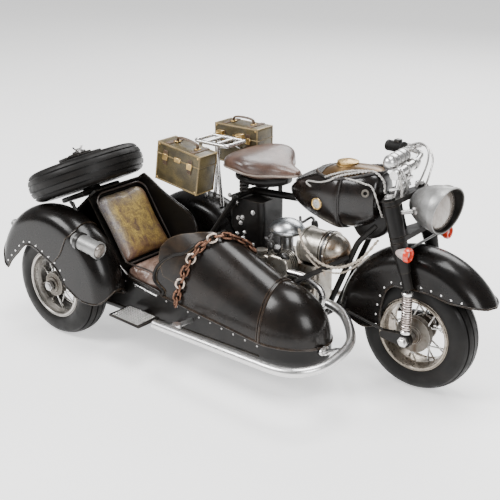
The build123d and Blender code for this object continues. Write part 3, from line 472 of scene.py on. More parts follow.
BODY = aged_paint("body_paint", (0.0020, 0.0016, 0.0014), (0.0058, 0.0042, 0.0034), (0.11, 0.07, 0.04))
COWL = aged_paint("cowl_paint", (0.0052, 0.0040, 0.0034), (0.0135, 0.0098, 0.0078), (0.13, 0.085, 0.055),
    rough=(0.24, 0.36), amount=0.4)
TANK = aged_paint("tank_paint", (0.0032, 0.0024, 0.0021), (0.0095, 0.0062, 0.005), (0.20, 0.12, 0.06), patch=55,
    coat=0.5)
ENAMEL = aged_paint("black_enamel", (0.004, 0.0036, 0.0034), (0.010, 0.0085, 0.0075), (0.10, 0.08, 0.06),
    rough=(0.3, 0.5), amount=0.35, coat=0.1)
PANEL = aged_paint("gold_brown_panel", (0.10, 0.058, 0.025), (0.30, 0.19, 0.085), (0.50, 0.36, 0.19),
    rough=(0.26, 0.44), amount=0.5, patch=75, metal=0.55)
UMBER = aged_paint("umber_panel", (0.0075, 0.0052, 0.0038), (0.026, 0.0165, 0.010), (0.22, 0.15, 0.085),
    rough=(0.28, 0.44), amount=0.5, patch=70)
STEEL = bare_metal("bright_steel", (0.72, 0.71, 0.70), (0.16, 0.14, 0.12), rough=(0.20, 0.36), spots=0.22,
    specks=0.12)
SATIN = bare_metal("satin_steel", (0.66, 0.655, 0.65), (0.26, 0.24, 0.22), rough=(0.26, 0.40), spots=0.25,
    specks=0.08, dents=0.02)
RIM = bare_metal("rim_metal", (0.34, 0.30, 0.25), (0.045, 0.032, 0.024), rough=(0.22, 0.4), spots=0.7)
RIM_PALE = bare_metal("rim_pale", (0.44, 0.42, 0.39), (0.08, 0.065, 0.05), rough=(0.26, 0.42), spots=0.5, specks=0.1)
SPOKE = bare_metal("spoke_wire", (0.70, 0.69, 0.67), (0.14, 0.12, 0.10), rough=(0.2, 0.34), spots=0.3)
DULL = bare_metal("dull_steel", (0.42, 0.41, 0.40), (0.06, 0.05, 0.045), rough=(0.28, 0.5), spots=0.55)
COPPER = bare_metal("copper_links", (0.20, 0.105, 0.070), (0.035, 0.018, 0.012), rough=(0.3, 0.5), spots=0.6)
LINK = bare_metal("pale_links", (0.56, 0.47, 0.40), (0.14, 0.075, 0.05), rough=(0.25, 0.42), spots=0.4)
BRASS = bare_metal("old_brass", (0.62, 0.42, 0.17), (0.12, 0.07, 0.03), rough=(0.25, 0.45), spots=0.5)
ROSY = bare_metal("spring_steel", (0.72, 0.64, 0.60), (0.14, 0.09, 0.07), rough=(0.22, 0.38), spots=0.3)
DOME = bare_metal("dome_metal", (0.46, 0.48, 0.50), (0.17, 0.105, 0.055), rough=(0.26, 0.40), spots=0.7, dents=0.03)
CAST = cast("engine_casting", (0.44, 0.41, 0.36), (0.020, 0.014, 0.010), (0.20, 0.105, 0.04), rough=(0.24, 0.42))
DRUM = cast("hub_casting", (0.16, 0.145, 0.125), (0.016, 0.012, 0.01), (0.06, 0.04, 0.025))
LAMP = bare_metal("lamp_shell", (0.28, 0.28, 0.275), (0.08, 0.07, 0.065), rough=(0.34, 0.52), spots=0.7, metal=0.7)
TYRE = rubber("tyre_rubber", (0.0042, 0.0038, 0.0035), (0.018, 0.0145, 0.012), rough=(0.34, 0.6))
GRIP = rubber("grip_rubber", (0.009, 0.009, 0.009), (0.04, 0.036, 0.033), amount=0.3)
SEAT = leather("seat_leather", (0.085, 0.052, 0.038), (0.40, 0.285, 0.070), (0.040, 0.018, 0.012), patch=165,
    painted_highlight_and_brown_sides=True, coat=0.3, rough=(0.28, 0.5))
SEAT_EDGE = leather("seat_edge_leather", (0.014, 0.010, 0.009), (0.040, 0.028, 0.022), (0.006, 0.005, 0.004))
CUSHION = leather("cushion_leather", (0.10, 0.056, 0.040), (0.27, 0.185, 0.15), (0.045, 0.022, 0.015), wear=0.3,
    patch=60, coat=0.5, rough=(0.2, 0.4))
SADDLE = leather("saddle_leather", (0.044, 0.022, 0.015), (0.125, 0.068, 0.047), (0.018, 0.010, 0.007), grain=760,
    rough=(0.30, 0.46), coat=0.3, patch=40)
SADDLE_EDGE = leather("saddle_edge_leather", (0.13, 0.095, 0.075), (0.30, 0.24, 0.20), (0.04, 0.026, 0.02), grain=900)
CASE = leather("case_leather", (0.030, 0.022, 0.0075), (0.105, 0.077, 0.025), (0.009, 0.0065, 0.0035), grain=700,
    wear=0.9, patch=80, coat=0.3)
CASE_EDGE = leather("case_edge_leather", (0.09, 0.062, 0.024), (0.27, 0.195, 0.085), (0.03, 0.02, 0.009), grain=800)
STRAP = leather("strap_leather", (0.045, 0.024, 0.012), (0.10, 0.058, 0.028), (0.012, 0.008, 0.005), grain=800)
CORD = leather("black_cord", (0.008, 0.007, 0.007), (0.022, 0.018, 0.016), (0.004, 0.004, 0.004), grain=900)


def plain(name, color, rough, variety=0.3, metal=0.0, coat=0.0, bump=0.1, scale=160.0):
    """A painted or moulded finish with a slight mottle and painted shade in hollow places."""
    s = Shader(name)
    tone = s.span(s.noise(scale, 5, 0.65), 0.35, 0.7)
    shade = s.tint(tone, variety, color, tuple(c * 0.45 for c in color))
    # painted shade: a darker copy of the colour in hollow places and where parts meet
    shade = s.tint(s.painted_hollow_shade(1.5), 0.6, shade, tuple(c * 0.2 for c in color))
    normal = s.relief(s.noise(scale * 4, 3, 0.6), bump, 0.06)
    return s.set(color=shade, rough=s.span(s.noise(scale, 3, 0.5), 0.3, 0.7, rough * 0.8, rough * 1.2), metal=metal,
        coat=coat, normal=normal)


RED = plain("signal_red", (0.60, 0.035, 0.012), 0.28, coat=0.5)
CONE = plain("signal_cone", (0.55, 0.45, 0.42), 0.35, metal=0.4)
CREAM = plain("cream_wire", (0.42, 0.36, 0.29), 0.5, variety=0.7, bump=0.3, scale=300)
PALE = plain("pale_wire", (0.52, 0.50, 0.47), 0.4, variety=0.6, metal=0.5, bump=0.3, scale=300)
CAP = plain("plug_cap", (0.015, 0.014, 0.013), 0.35, coat=0.3)
PEWTER = plain("badge_pewter", (0.42, 0.42, 0.42), 0.3, metal=0.8, variety=0.5)


def lens_glass():
    """Moulded lamp glass: dusty, slightly brown, with upright flutes."""
    s = Shader("lamp_glass")
    flutes = s.add("ShaderNodeTexWave", {"Vector": s.coords, "Scale": 150.0, "Distortion": 0.6, "Detail": 1.0},
        bands_direction="Y").outputs["Fac"]
    cloud = s.span(s.noise(110, 5, 0.65, 0.5), 0.35, 0.7)
    color = s.mix(cloud, (0.30, 0.27, 0.245), (0.14, 0.115, 0.095))
    # painted shade: dark brown in hollow places and where the glass meets the rim
    color = s.tint(s.painted_hollow_shade(2.5), 0.8, color, (0.03, 0.02, 0.015))
    normal = s.relief(flutes, 0.22, 0.2)
    normal = s.relief(s.noise(500, 3, 0.5), 0.05, 0.05, normal)
    return s.set(color=color, rough=s.span(cloud, 0, 1, 0.10, 0.24), normal=normal, metal=0.35, coat=0.8,
        coat_rough=0.06)


GLASS = lens_glass()

CARRIED = [(TYRE, "front_tyre rear_tyre side_tyre spare_tyre"), (RIM, "front_rim rear_rim"), (RIM_PALE, "side_rim"),
    (SPOKE, "front_spokes rear_spokes side_spokes"), (DRUM, "front_hub rear_hub side_hub"),
    (DULL, "front_axle rear_axle side_axle"),
    (ENAMEL, "saddle_springs spare_mount spare_rim main_frame engine_cradle fork_yokes"),
    (ENAMEL, "fork_legs fender_stays sidecar_struts sidecar_tub side_box step_plate"),
    (CAST, "crankcase engine_cover cylinders cylinder_heads"), (DOME, "air_cleaner"), (SATIN, "instrument_pod"),
    (STEEL, "exhaust luggage_rack handlebar"), (COWL, "sidecar_cowl nose_cap"),
    (BODY, "front_fender rear_fender side_fender"), (TANK, "fuel_tank"), (BRASS, "tank_fittings"), (SADDLE, "saddle"),
    (SEAT, "seat_back seat_cushion"), (CASE, "left_case right_case"), (STRAP, "case_handles"), (PALE, "loom_wires"),
    (CAP, "control_cables"), (COPPER, "cowl_chain"), (LAMP, "headlamp_shell turn_signals marker_lamps"),
    (GLASS, "headlamp_lens"), (GRIP, "grips"), (ROSY, "fork_springs"),]
for material, names in CARRIED:
    for name in names.split():
        data = NODES[name].data
        data.materials.clear()
        data.materials.append(material)
        data.shade_smooth()
        data.set_sharp_from_angle(angle=math.radians(35))


# ---- fenders ----
def between(table, value):
    """Linear interpolation in a table of (key, value) pairs."""
    for (a, x), (b, y) in zip(table, table[1:]):
        if value <= b:
            return x + (y - x) * max(0.0, (value - a)) / (b - a)
    return table[-1][1]


def ease(table):
    """The same table, smoothed."""
    return [(p.x, p.y) for p in smooth_line([Vector((k, v, 0)) for k, v in table], 10)]


CROWN_R = 53.0               # from the axle to a fender's crown
SHOULDER = 10.0              # a fender's height from the top of its skirt to its crown
SHOULDER_ARC = 12.0          # length given to that bend when points are spaced along a section


class Fender:
    """A rounded arch of sheet round a wheel. edge gives the skirt's reach towards the axle at each share of the
    turn; start and end give the two end angles at each distance from the axle."""

    def __init__(self, x, y, half, edge, start, end):
        self.centre = Vector((x, y, WHEEL_Z))
        self.half, self.crown, self.shoulder = half, CROWN_R, CROWN_R - SHOULDER
        self.edge, self.start, self.end = ease(edge), ease(start), ease(end)

    def point(self, share, rho, y):
        a = between(self.start, rho)
        b = between(self.end, rho)
        turn = math.radians(a + (b - a) * share)
        return self.centre + Vector((math.cos(turn) * rho, y, math.sin(turn) * rho))

    def section(self, share, lift=0.0):
        """Half a section from the skirt's edge to the crown, as (rho, y)."""
        low = between(self.edge, share)
        half = self.half + lift
        first = 0.0
        if low > self.shoulder:
            first = math.asin(min(1.0, (low - self.shoulder) / SHOULDER))
        wall = max(0.0, self.shoulder - low)
        arch = (math.pi / 2 - first) * SHOULDER_ARC
        rows = []
        for k in range(19):
            far = (wall + arch) * k / 18
            if far < wall:
                rows.append((low + far, half))
            else:
                t = first + (far - wall) / SHOULDER_ARC
                rows.append((self.shoulder + math.sin(t) * (self.crown + lift - self.shoulder), half * math.cos(t)))
        return rows

    def border(self, share, lift=0.0):
        """A whole section, from one skirt over the crown to the other."""
        half = self.section(share, lift)
        return ([self.point(share, rho, -y) for rho, y in half] + [self.point(share, rho, y) for rho,
                y in reversed(half[:-1])])

    def shell(self):
        return grid([self.border(i / 72) for i in range(73)])

    def skirt(self, side, inset, first=0.0, last=1.0):
        """A line along one skirt, inset from its edge."""
        line = []
        for i in range(121):
            share = first + (last - first) * i / 120
            low = between(self.edge, share)
            y = self.half
            if low > self.shoulder:
                y = self.half * math.sqrt(max(0.0, 1 - ((low - self.shoulder) / SHOULDER) ** 2))
            line.append(self.point(share, low + inset, side * y))
        return line


def spaced(line, gap, offset):
    """Points at equal distances along a line."""
    found, travelled, wanted = [], 0.0, offset
    for a, b in zip(line, line[1:]):
        step = (b - a).length
        while step > 0 and travelled + step >= wanted:
            found.append(a + (b - a) * ((wanted - travelled) / step))
            wanted += gap
        travelled += step
    return found


FRONT = Fender(FRONT_X, BIKE_Y, 13.4, [(0, 53), (0.06, 43.5), (0.16, 35), (0.40, 30), (0.55, 31.6), (0.68, 26.8),
        (0.82, 22.6), (1, 19.6)], [(15, 30), (43, 33), (53, 31)], [(15, 168), (22, 176), (31, 183), (43, 176),
        (53, 173)])
REAR = Fender(REAR_X, BIKE_Y, 13.4, [(0, 40), (0.10, 26), (0.34, 27), (0.62, 28.5), (0.84, 39), (1, 44)],
    [(20, 20), (40, 8), (53, 8)], [(20, 178), (44, 172), (53, 175)])
SIDE = Fender(SIDE_X, SIDE_Y, 12.6, [(0, 16.5), (0.14, 16.5), (0.45, 19), (0.60, 24), (0.72, 31), (0.86, 33.5),
        (1, 41)], [(15, 20), (22, 6), (30, -3), (47, 0), (53, 8)], [(15, 178), (41, 175), (47, 166), (53, 155)])

for label, shape, body in (("front", FRONT, "steering"), ("rear", REAR, "chassis"), ("side", SIDE, "chassis")):
    piece(f"{label}_fender_sheet", [shape.shell()], BODY, body, sharp=50, solid=0.9,
        replaces=f"{label}_fender")
    rolled = [sweep(shape.skirt(side, 0.2), 0.62, 10) for side in (-1, 1)]
    rolled += [sweep(shape.border(share), 0.6, 10) for share in (0.0, 1.0)]
    piece(f"{label}_fender_rolled_edge", rolled, BODY, body)
    rivets = [stud(spot, (0, side, 0), 0.75) for side in (-1, 1) for spot in spaced(shape.skirt(side, 2.6, 0.07,
                0.99), 6.4, 2.0)]
    piece(f"{label}_fender_rivets", rivets, STEEL, body)
piece("side_fender_seam", [sweep(SIDE.border(0.36, 0.15), 0.5, 8)], BODY)


# ---- tank ----
def bulge(share, power):
    """A sine or cosine drawn out towards its ends, which squares up a round section."""
    return math.copysign(abs(share) ** power, share)


def oval(x, z, half_width, half_height, power, drop):
    """A rounded section across the motorcycle. drop moves the widest place down."""
    row = []
    for k in range(48):
        turn = 2 * math.pi * k / 48
        c, s = math.cos(turn), math.sin(turn)
        y = bulge(c, 2 / power) * half_width
        h = bulge(s, 2 / power) * half_height
        y *= 1 - drop * h / max(half_height, 0.01)
        row.append(bike(x, y, z + h))
    return row


def smooth_stations(stations, steps):
    """Stations of (x, z, half width, half height), smoothed, as places and sizes."""
    return (smooth_line([Vector((x, z, 0)) for x, z, w, h in stations], steps),
        smooth_line([Vector((w, h, 0)) for x, z, w, h in stations], steps))


def loft(stations, steps, power, drop=0.0):
    """A closed body through stations."""
    rows = [oval(a.x, a.y, max(b.x, 0.05), max(b.y, 0.05), power, drop) for a,
        b in zip(*smooth_stations(stations, steps))]
    return grid(rows, closed_v=True, caps=True)


TANK_STATIONS = [(17.0, 106.0, 0.6, 0.8), (18.5, 106.0, 2.6, 2.8), (24, 106.2, 6.8, 7.4), (34, 107.0, 11.6, 12.6),
    (46, 108.0, 15.2, 16.8), (55, 108.6, 17.0, 19.2), (59.5, 109.0, 17.1, 19.6), (62, 110.0, 15.4, 18.8),
    (69, 110.7, 15.0, 18.6), (76, 111.8, 13.8, 17.2), (81.5, 112.8, 11.6, 14.6), (83.2, 113.0, 9.0, 11.4),
    (83.8, 113.0, 3.0, 4.0), (83.9, 113.0, 0.5, 0.5)]
TANK_POWER = 2.35
TANK_DROP = 0.05
piece("tank_shell", [loft(TANK_STATIONS, 4, TANK_POWER, TANK_DROP)], TANK, sharp=60, subdivide=1,
    replaces="fuel_tank")
TANK_LINE, TANK_SIZES = smooth_stations(TANK_STATIONS, 4)


def tank_point(x, turn, lift=0.0):
    """A point on the tank's skin: turn 0 is the left side, 90 the top, 180 the right side."""
    for i in range(len(TANK_LINE) - 1):
        a, b = TANK_LINE[i], TANK_LINE[i + 1]
        if x <= b.x:
            t = (x - a.x) / (b.x - a.x)
            z = a.y + (b.y - a.y) * t
            size = TANK_SIZES[i].lerp(TANK_SIZES[i + 1], t)
            break
    c, s = math.cos(math.radians(turn)), math.sin(math.radians(turn))
    y = bulge(c, 2 / TANK_POWER) * (size.x + lift)
    up = bulge(s, 2 / TANK_POWER) * (size.y + lift)
    return bike(x, y * (1 - TANK_DROP * up / size.y), z + up)


piece("tank_crease", [sweep([tank_point(61.4, t, 0.45) for t in range(130, 271, 5)], 0.5, 8),
        sweep([tank_point(61.4, t, 0.45) for t in range(50, -91, -5)], 0.5, 8)], CORD)
spine = [sweep([tank_point(23.5 + 1.75 * k, t, 0.5) for t in range(70, 126, 6)], 0.75, 8) for k in range(13)]
piece("tank_laces", spine, CORD)
TOP_X, TOP_LONG, TOP_TURN, TOP_MIDDLE = 59.5, 22.5, 54.0, 87.0
RIDGE = 2.4
top_skin = []
for i in range(25):
    angle = math.pi * i / 24
    x = TOP_X - TOP_LONG * math.cos(angle)
    row = []
    for k in range(17):
        across = (k - 8) / 8
        rise = RIDGE * max(0.0, -across) ** 2 * math.sin(angle)
        row.append(tank_point(x, TOP_MIDDLE + TOP_TURN * math.sin(angle) * across, 0.35) + Vector((0, 0, rise)))
    top_skin.append(row)
piece("tank_top", [grid(top_skin)], PANEL, solid=0.3)
edge = []
for i in range(72):
    angle = 2 * math.pi * i / 72
    rise = RIDGE * max(0.0, -math.sin(angle))
    edge.append(tank_point(TOP_X - TOP_LONG * math.cos(angle), TOP_MIDDLE + TOP_TURN * math.sin(angle), 0.5)
        + Vector((0, 0, rise)))
edge_sizes = [0.9 + 1.1 * max(0.0, -math.sin(2 * math.pi * i / 72)) for i in range(72)]
piece("tank_top_edge", [sweep(edge, edge_sizes, 10, closed=True)], CORD)
beads = [stud(p + Vector((0, 0, r * 0.9)), (0, 0, 1), 0.42, 0.5) for p, r in zip(edge[::2], edge_sizes[::2])]
piece("tank_top_stitches", beads, STRAP)
piece("tank_tap", [torus(tank_point(78.0, 166, 0.5), (0.5, -1, 0.1), 1.7, 0.7)], DRUM)

badge = []
ring = []
for side in (-1, 1):
    centre = tank_point(46.5, 90 - side * 97, -0.3)
    out = Vector((-0.12, side, 0.06))
    badge.append(lathe([(0, 0.0), (3.1, 0.0), (3.1, 0.9), (2.3, 1.0), (1.2, 1.05), (0.9, 1.4), (0, 1.5)], centre, out,
            40))
    ring.append(lathe([(2.7, 0.0), (3.6, 0.0), (3.7, 0.7), (3.4, 1.35), (2.95, 1.4), (2.7, 1.0)], centre, out, 40,
            closed=True))
piece("tank_badge_disc", badge, PEWTER, sharp=30, replaces="tank_fittings")
piece("tank_badge_ring", ring, BRASS, sharp=30, replaces="tank_fittings")
cap_base = tank_point(57.5, 92) - Vector((0, -1.0, 0.5))
piece("filler_cap", [lathe([(0, 0), (6.9, 0), (7.0, 0.7), (6.0, 1.1), (6.0, 1.5), (6.5, 1.8), (6.5, 2.2), (5.6, 2.6),
            (2.3, 2.7), (1.5, 3.0), (0, 3.1)], cap_base, (0, 0, 1), 48)], BRASS, sharp=30,
    replaces="tank_fittings")


gusset = [(64, 93, 2.2, 2.6), (70, 93, 5.2, 7.6), (78, 95.5, 6.2, 9.6), (86, 99.5, 5.8, 8.6), (89.5, 102, 4.0, 5.0)]
piece("frame_gusset", [loft(gusset, 4, 2.6)], ENAMEL, sharp=60)


# ---- saddle ----
def saddle_row(x, z, half_width, half_height, cup):
    """A section across the saddle. cup is how far its middle is pressed down."""
    row = []
    for k in range(40):
        turn = 2 * math.pi * k / 40
        c, s = math.cos(turn), math.sin(turn)
        y = bulge(c, 0.8) * half_width
        share = abs(y) / max(half_width, 0.01)
        h = bulge(s, 0.85) * half_height
        if s > 0:
            h -= cup * (1 - share ** 2) ** 2
        else:
            h *= 0.75
        row.append(bike(x, y, z + h + 1.6 * cup * share ** 3))
    return row


SADDLE_STATIONS = [(-29.8, 117.0, 0.6, 0.5, 0.0), (-29.2, 117.0, 6.4, 2.4, 0.0), (-26.8, 117.2, 13.4, 5.0, 0.3),
    (-21.5, 117.8, 19.6, 7.2, 0.9), (-14.5, 118.0, 23.8, 8.6, 1.6), (-6.5, 117.8, 26.2, 9.2, 1.9),
    (0, 117.0, 25.6, 8.8, 1.7), (5, 116.2, 20.4, 7.6, 1.0), (9.4, 115.6, 12.6, 6.0, 0.4),
    (13.6, 115.2, 8.2, 4.6, 0.0), (18, 115.0, 5.6, 3.4, 0.0), (21.6, 115.0, 3.4, 2.2, 0.0),
    (22.6, 115.0, 0.5, 0.5, 0.0)]
line = smooth_line([Vector((x, z, c)) for x, z, w, h, c in SADDLE_STATIONS], 5)
sizes = smooth_line([Vector((w, h, 0)) for x, z, w, h, c in SADDLE_STATIONS], 5)
rows = [saddle_row(a.x, a.y, max(b.x, 0.1), max(b.y, 0.1), max(a.z, 0)) for a, b in zip(line, sizes)]
saddle = piece("saddle_pad", [grid(rows, closed_v=True, caps=True)], SADDLE, sharp=80, subdivide=1,
    replaces="saddle")
rolled = [row[22] for row in rows[4:-4]] + [row[38] for row in reversed(rows[4:-4])]
piece("saddle_welt", [sweep(rolled, 0.75, 8, closed=True)], SADDLE_EDGE)
pan = [(-23, 109.8, 5, 2.0), (-19, 109.4, 11.5, 3.4), (-8, 109.0, 15.5, 4.4), (3, 109.0, 12, 4.6),
    (10, 109.4, 6.5, 3.8), (15, 110.4, 3.2, 2.4)]
piece("saddle_pan", [loft(pan, 4, 2.4)], ENAMEL, sharp=60)


# ---- cushions of the sidecar seat ----
def pad(name, shape, material, crown, replaced):
    """A stuffed pad blown up with cloth, at ten times its size, then brought back. shape is its slack outline."""
    points, faces = shape
    centre = sum(points, Vector()) / len(points)
    obj = mesh_object(name, [(p - centre) * 0.01 for p in points], faces)
    modify(obj, "BEVEL", width=0.018, segments=3, limit_method="ANGLE", angle_limit=math.radians(50))
    modify(obj, "REMESH", mode="VOXEL", voxel_size=0.009)
    bake(obj)
    start = [v.co.copy() for v in obj.data.vertices]
    cloth = modify(obj, "CLOTH").settings
    cloth.use_pressure = True
    cloth.uniform_pressure_force = 4.0
    cloth.effector_weights.gravity = 0.0
    cloth.quality = 6
    scene = bpy.context.scene
    for step in range(1, 21):
        scene.frame_set(step)
    bake(obj)
    scene.frame_set(1)
    for v, a in zip(obj.data.vertices, start):
        shift = v.co - a
        if shift.length > crown * 0.01:
            v.co = a + shift.normalized() * crown * 0.01
    modify(obj, "SMOOTH", iterations=8, factor=0.5)
    modify(obj, "SUBSURF", levels=1, render_levels=1)
    bake(obj)
    for v in obj.data.vertices:
        v.co = (centre + v.co * 100) * MM
    obj.data.materials.append(material)
    obj.data.shade_smooth()
    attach(obj, "chassis")
    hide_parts(replaced)


def slab(outline, low, high):
    """An outline of points moved from low to high to make a closed solid."""
    count = len(outline)
    verts = [Vector(p) + low for p in outline] + [Vector(p) + high for p in outline]
    faces = [tuple(range(count)), tuple(range(2 * count - 1, count - 1, -1))]
    for i in range(count):
        j = (i + 1) % count
        faces.append((i, j, count + j, count + i))
    return verts, faces


BACK_MID = car(-77.2, -0.6, 74.4)
BACK_UP = Vector((-0.560, 0, 0.829))
BACK_OUT = Vector((0.829, 0, 0.560))


def back_outline(half, low, high, corner, pull=0.0):
    """The seat back's outline seen square on: round upper corners, sides pulled in halfway."""
    points = []
    for cy, cu, first in ((half - corner, high - corner, 0), (-half + corner, high - corner, 90)):
        for k in range(7):
            turn = math.radians(first + 15 * k)
            points.append((cy + corner * math.cos(turn), cu + corner * math.sin(turn)))
    points += [(-half + pull, (low + high) / 2), (-half, low + 2), (-half + 2, low), (half - 2, low), (half, low + 2),
        (half - pull, (low + high) / 2)]
    return [BACK_MID + Vector((0, y, 0)) + BACK_UP * u for y, u in points]


SEAT_SIDE = [(-65.4, 34.6), (-65.4, 50.6), (-60.2, 54.6), (-50, 54.6), (-42, 53.8), (-37.6, 50.4), (-36.6, 42),
    (-37.4, 34.6)]
pad("seat_back_pad", slab(back_outline(21.6, -23.4, 24.6, 7.0, 0.5), BACK_OUT * -2.9, BACK_OUT * 2.4), SEAT, 1.7,
    "seat_back")
pad("seat_cushion_pad", slab([car(x, 0, z) for x, z in SEAT_SIDE], Vector((0, -20.2, 0)), Vector((0, 19.8, 0))),
    CUSHION, 1.5, "seat_cushion")
welts = [sweep([p + BACK_OUT * 2.2 for p in back_outline(22.2, -24.2, 25.4, 7.6, 0.4)], 0.6, 8, closed=True)]
for y in (-20.6, 20.2):
    welts.append(curve([car(-60.6, y, 55.4), car(-50, y, 55.6), car(-41.6, y, 54.6), car(-36.8, y, 51.0)], 4, 0.6, 8))
welts.append(sweep([car(-36.8, y, 51.2) for y in (-20.6, -9, 0, 9, 20.2)], 0.6, 8))
piece("seat_welts", welts, SEAT_EDGE)


# ---- sidecar: cowl beads, chain, panel, rims ----
def seam(x):
    """Height of the seam between hull and cowl."""
    return 33.0 + 0.118 * max(0.0, 44 - x)


def crown(x):
    """Height of the cowl's crown."""
    return 64.5 + 0.427 * (44 - x)


def cowl_skin(x, turn, lift=0.0):
    """A point on the cowl: turn 0 is the near seam, 90 the crown, 180 the far seam."""
    t = math.radians(180 - turn)
    high = crown(x) - seam(x)
    out = Vector((0, math.cos(t) / CAR_HALF, math.sin(t) / high)).normalized()
    return car(x, CAR_HALF * math.cos(t), seam(x) + high * math.sin(t)) + out * lift, out


beads = []
for turn in (0, 180):
    line = [cowl_skin(x, turn, 0.0)[0] for x in range(-34, 45, 6)] + [cowl_skin(44, turn, 0.0)[0]]
    beads.append(sweep(line, 0.85, 8))
beads.append(sweep([cowl_skin(44, t, 0.1)[0] for t in range(0, 181, 4)], 0.8, 8))
beads.append(sweep([cowl_skin(42.2, t, 0.05)[0] for t in range(0, 181, 4)], 0.45, 8))
nose_line = [car(44 + 33 * math.cos(math.radians(t)), CAR_HALF * math.sin(math.radians(t)), 33.0)
    for t in range(-90, 91, 5)]
beads.append(sweep(nose_line, 0.85, 8))
piece("cowl_beads", beads, COWL)

RIM_CURVE = [(-30, 38), (-31.5, 46), (-38.6, 51), (-38.0, 58), (-32.5, 65), (-25.0, 70), (-17.0, 73), (-11.0, 78.5),
    (-3.0, 84)]


def rim_turn(x, z):
    """The turn at which the cowl's skin reaches a height."""
    share = min(1.0, max(0.0, (z - seam(x)) / (crown(x) - seam(x))))
    return math.degrees(math.asin(share))


half_rim = [cowl_skin(x, rim_turn(x, z), 0.2)[0] for x, z in RIM_CURVE[1:]]
top = cowl_skin(-1.6, 90, 0.2)[0]
other = [Vector((p.x, 2 * CAR_Y - p.y, p.z)) for p in reversed(half_rim)]
rim_line = smooth_line([cowl_skin(-32.0, 1, 0.2)[0]] + half_rim + [top] + other + [cowl_skin(-32.0, 179, 0.2)[0]], 6)
piece("cowl_rolled_rim", [sweep(rim_line, 1.1, 10)], ENAMEL)
piece("cowl_rim_wire", [sweep([p + Vector((2.0, 0, 0.4)) for p in rim_line], 0.35, 6)], UMBER)


def chain_place(turn):
    """A point on the cowl under the chain, and the way out of the skin."""
    x = -19.5 + 0.20 * turn + 0.0006 * turn ** 2
    return cowl_skin(x, turn)


PANEL_BACK = [(0, -29.5), (12, -31.5), (24, -37.2), (33, -36.6), (43, -31.5), (53, -24), (62, -16.5), (75, -9),
    (90, -2)]
PANEL_LOW, PANEL_HIGH = 14, 86
panel_rows = []
for i in range(41):
    turn = PANEL_LOW + (PANEL_HIGH - PANEL_LOW) * i / 40
    back_x = between(PANEL_BACK, turn) + 0.8
    reach = chain_place(turn)[0].x - between(PANEL_BACK, turn) - 0.8
    panel_rows.append([cowl_skin(back_x + reach * k / 8, turn, 0.28)[0] for k in range(9)])
piece("cowl_gold_panel", [grid(panel_rows)], UMBER, solid=0.3)

CHAIN_PITCH = 4.3
links = []
turns = [2.0]
turn = 2.0
while turn < 118:
    turn += 0.1
    if (chain_place(turn)[0] - chain_place(turns[-1])[0]).length >= CHAIN_PITCH:
        turns.append(turn)
rings = []
for i, turn in enumerate(turns):
    spot, out = chain_place(turn)
    ahead = (chain_place(turn + 1)[0] - chain_place(turn - 1)[0]).normalized()
    tilt = math.radians(34 if i % 2 else -34)
    axis = Matrix.Rotation(tilt, 3, ahead) @ out
    if i in (3, 7, 11):
        rings.append(torus(spot + out * 2.0, axis, 2.5, 0.85, 0.5, ahead, 28))
    else:
        links.append(torus(spot + out * 1.8, axis, 2.0, 0.82, 1.25, ahead, 28))
piece("chain_links", links, COPPER, replaces="cowl_chain")
piece("chain_rings", rings, LINK, replaces="cowl_chain")

NEAR_RIM = [(-134, -22, 61.6), (-124, -22.4, 70.4), (-115, -CAR_HALF, 78.6), (-107, -CAR_HALF, 77.8),
    (-98, -CAR_HALF, 73.2), (-88, -CAR_HALF, 66.2), (-80, -CAR_HALF, 60.2), (-71, -CAR_HALF, 53.6),
    (-65, -CAR_HALF, 49.6), (-58, -CAR_HALF, 47.2), (-46, -CAR_HALF, 45.6), (-36, -CAR_HALF, 44.2),
    (-32, -CAR_HALF, 42.4)]
FAR_RIM = [(-134, 22, 61.6), (-112, 22.4, 81.0), (-92, CAR_HALF, 98.6), (-86, CAR_HALF, 99.2), (-73, CAR_HALF, 92),
    (-61, CAR_HALF, 86.6), (-50, CAR_HALF, 82), (-44, CAR_HALF, 76), (-41.5, CAR_HALF, 67), (-41.0, CAR_HALF, 54),
    (-34, CAR_HALF, 43)]
piece("tub_rolled_rims", [curve([car(*p) for p in NEAR_RIM], 5, 1.05, 10),
        curve([car(*p) for p in FAR_RIM], 5, 1.05, 10)], COWL)
piece("sill_strip", [sweep([car(-57, -23.0, 44.4), car(-36, -23.0, 41.0)], 0.9, 8, flat=0.6)], STEEL)
hull_rivets = []
for y in (-CAR_HALF, CAR_HALF):
    for x in range(-128, 44, 9):
        z = min(seam(x) - 2.4, 60)
        hull_rivets.append(stud(car(x, y, z), (0, math.copysign(1, y), 0), 0.7))
piece("tub_rivets", hull_rivets, DULL)
piece("tub_lower_bead", [sweep([car(-122, y, 24.4), car(44, y, 24.4)], 0.6, 8) for y in (-CAR_HALF, CAR_HALF)],
    ENAMEL)

# silver strut beside the seat
piece("seat_stay", [sweep([car(-112, -23.6, 88), car(-100, -23.9, 79), car(-84, -23.9, 66)], 1.1, 12),
        stud(car(-84, -23.9, 66), (0.8, 0, -0.6), 1.5)], STEEL)
piece("seat_stay_rod", [sweep([car(-84, -23.9, 66), car(-62, -23.7, 49)], 0.6, 10),
        *hex_head(car(-110, -23.0, 86.4), (0, -1, 0), 1.6, 1.0)], DULL)

# ---- step ----
tray = block((-45.2, -49.4, 28.6), (28, 18.0, 1.8), (1, -0.06, 0))
dots = []
for i in range(15):
    for k in range(10):
        dots.append(stud((-56.6 + 1.62 * i, -56.9 + 1.62 * k - 0.06 * (1.62 * i - 11.4), 29.5), (0, 0, 1), 0.56, 0.4))
piece("step_tray", [tray, block((-45, -44.5, 26.3), (8, 16, 2.6))], ENAMEL, bevel=0.5,
    replaces="step_plate")
piece("step_tread", dots, STEEL, replaces="step_plate")

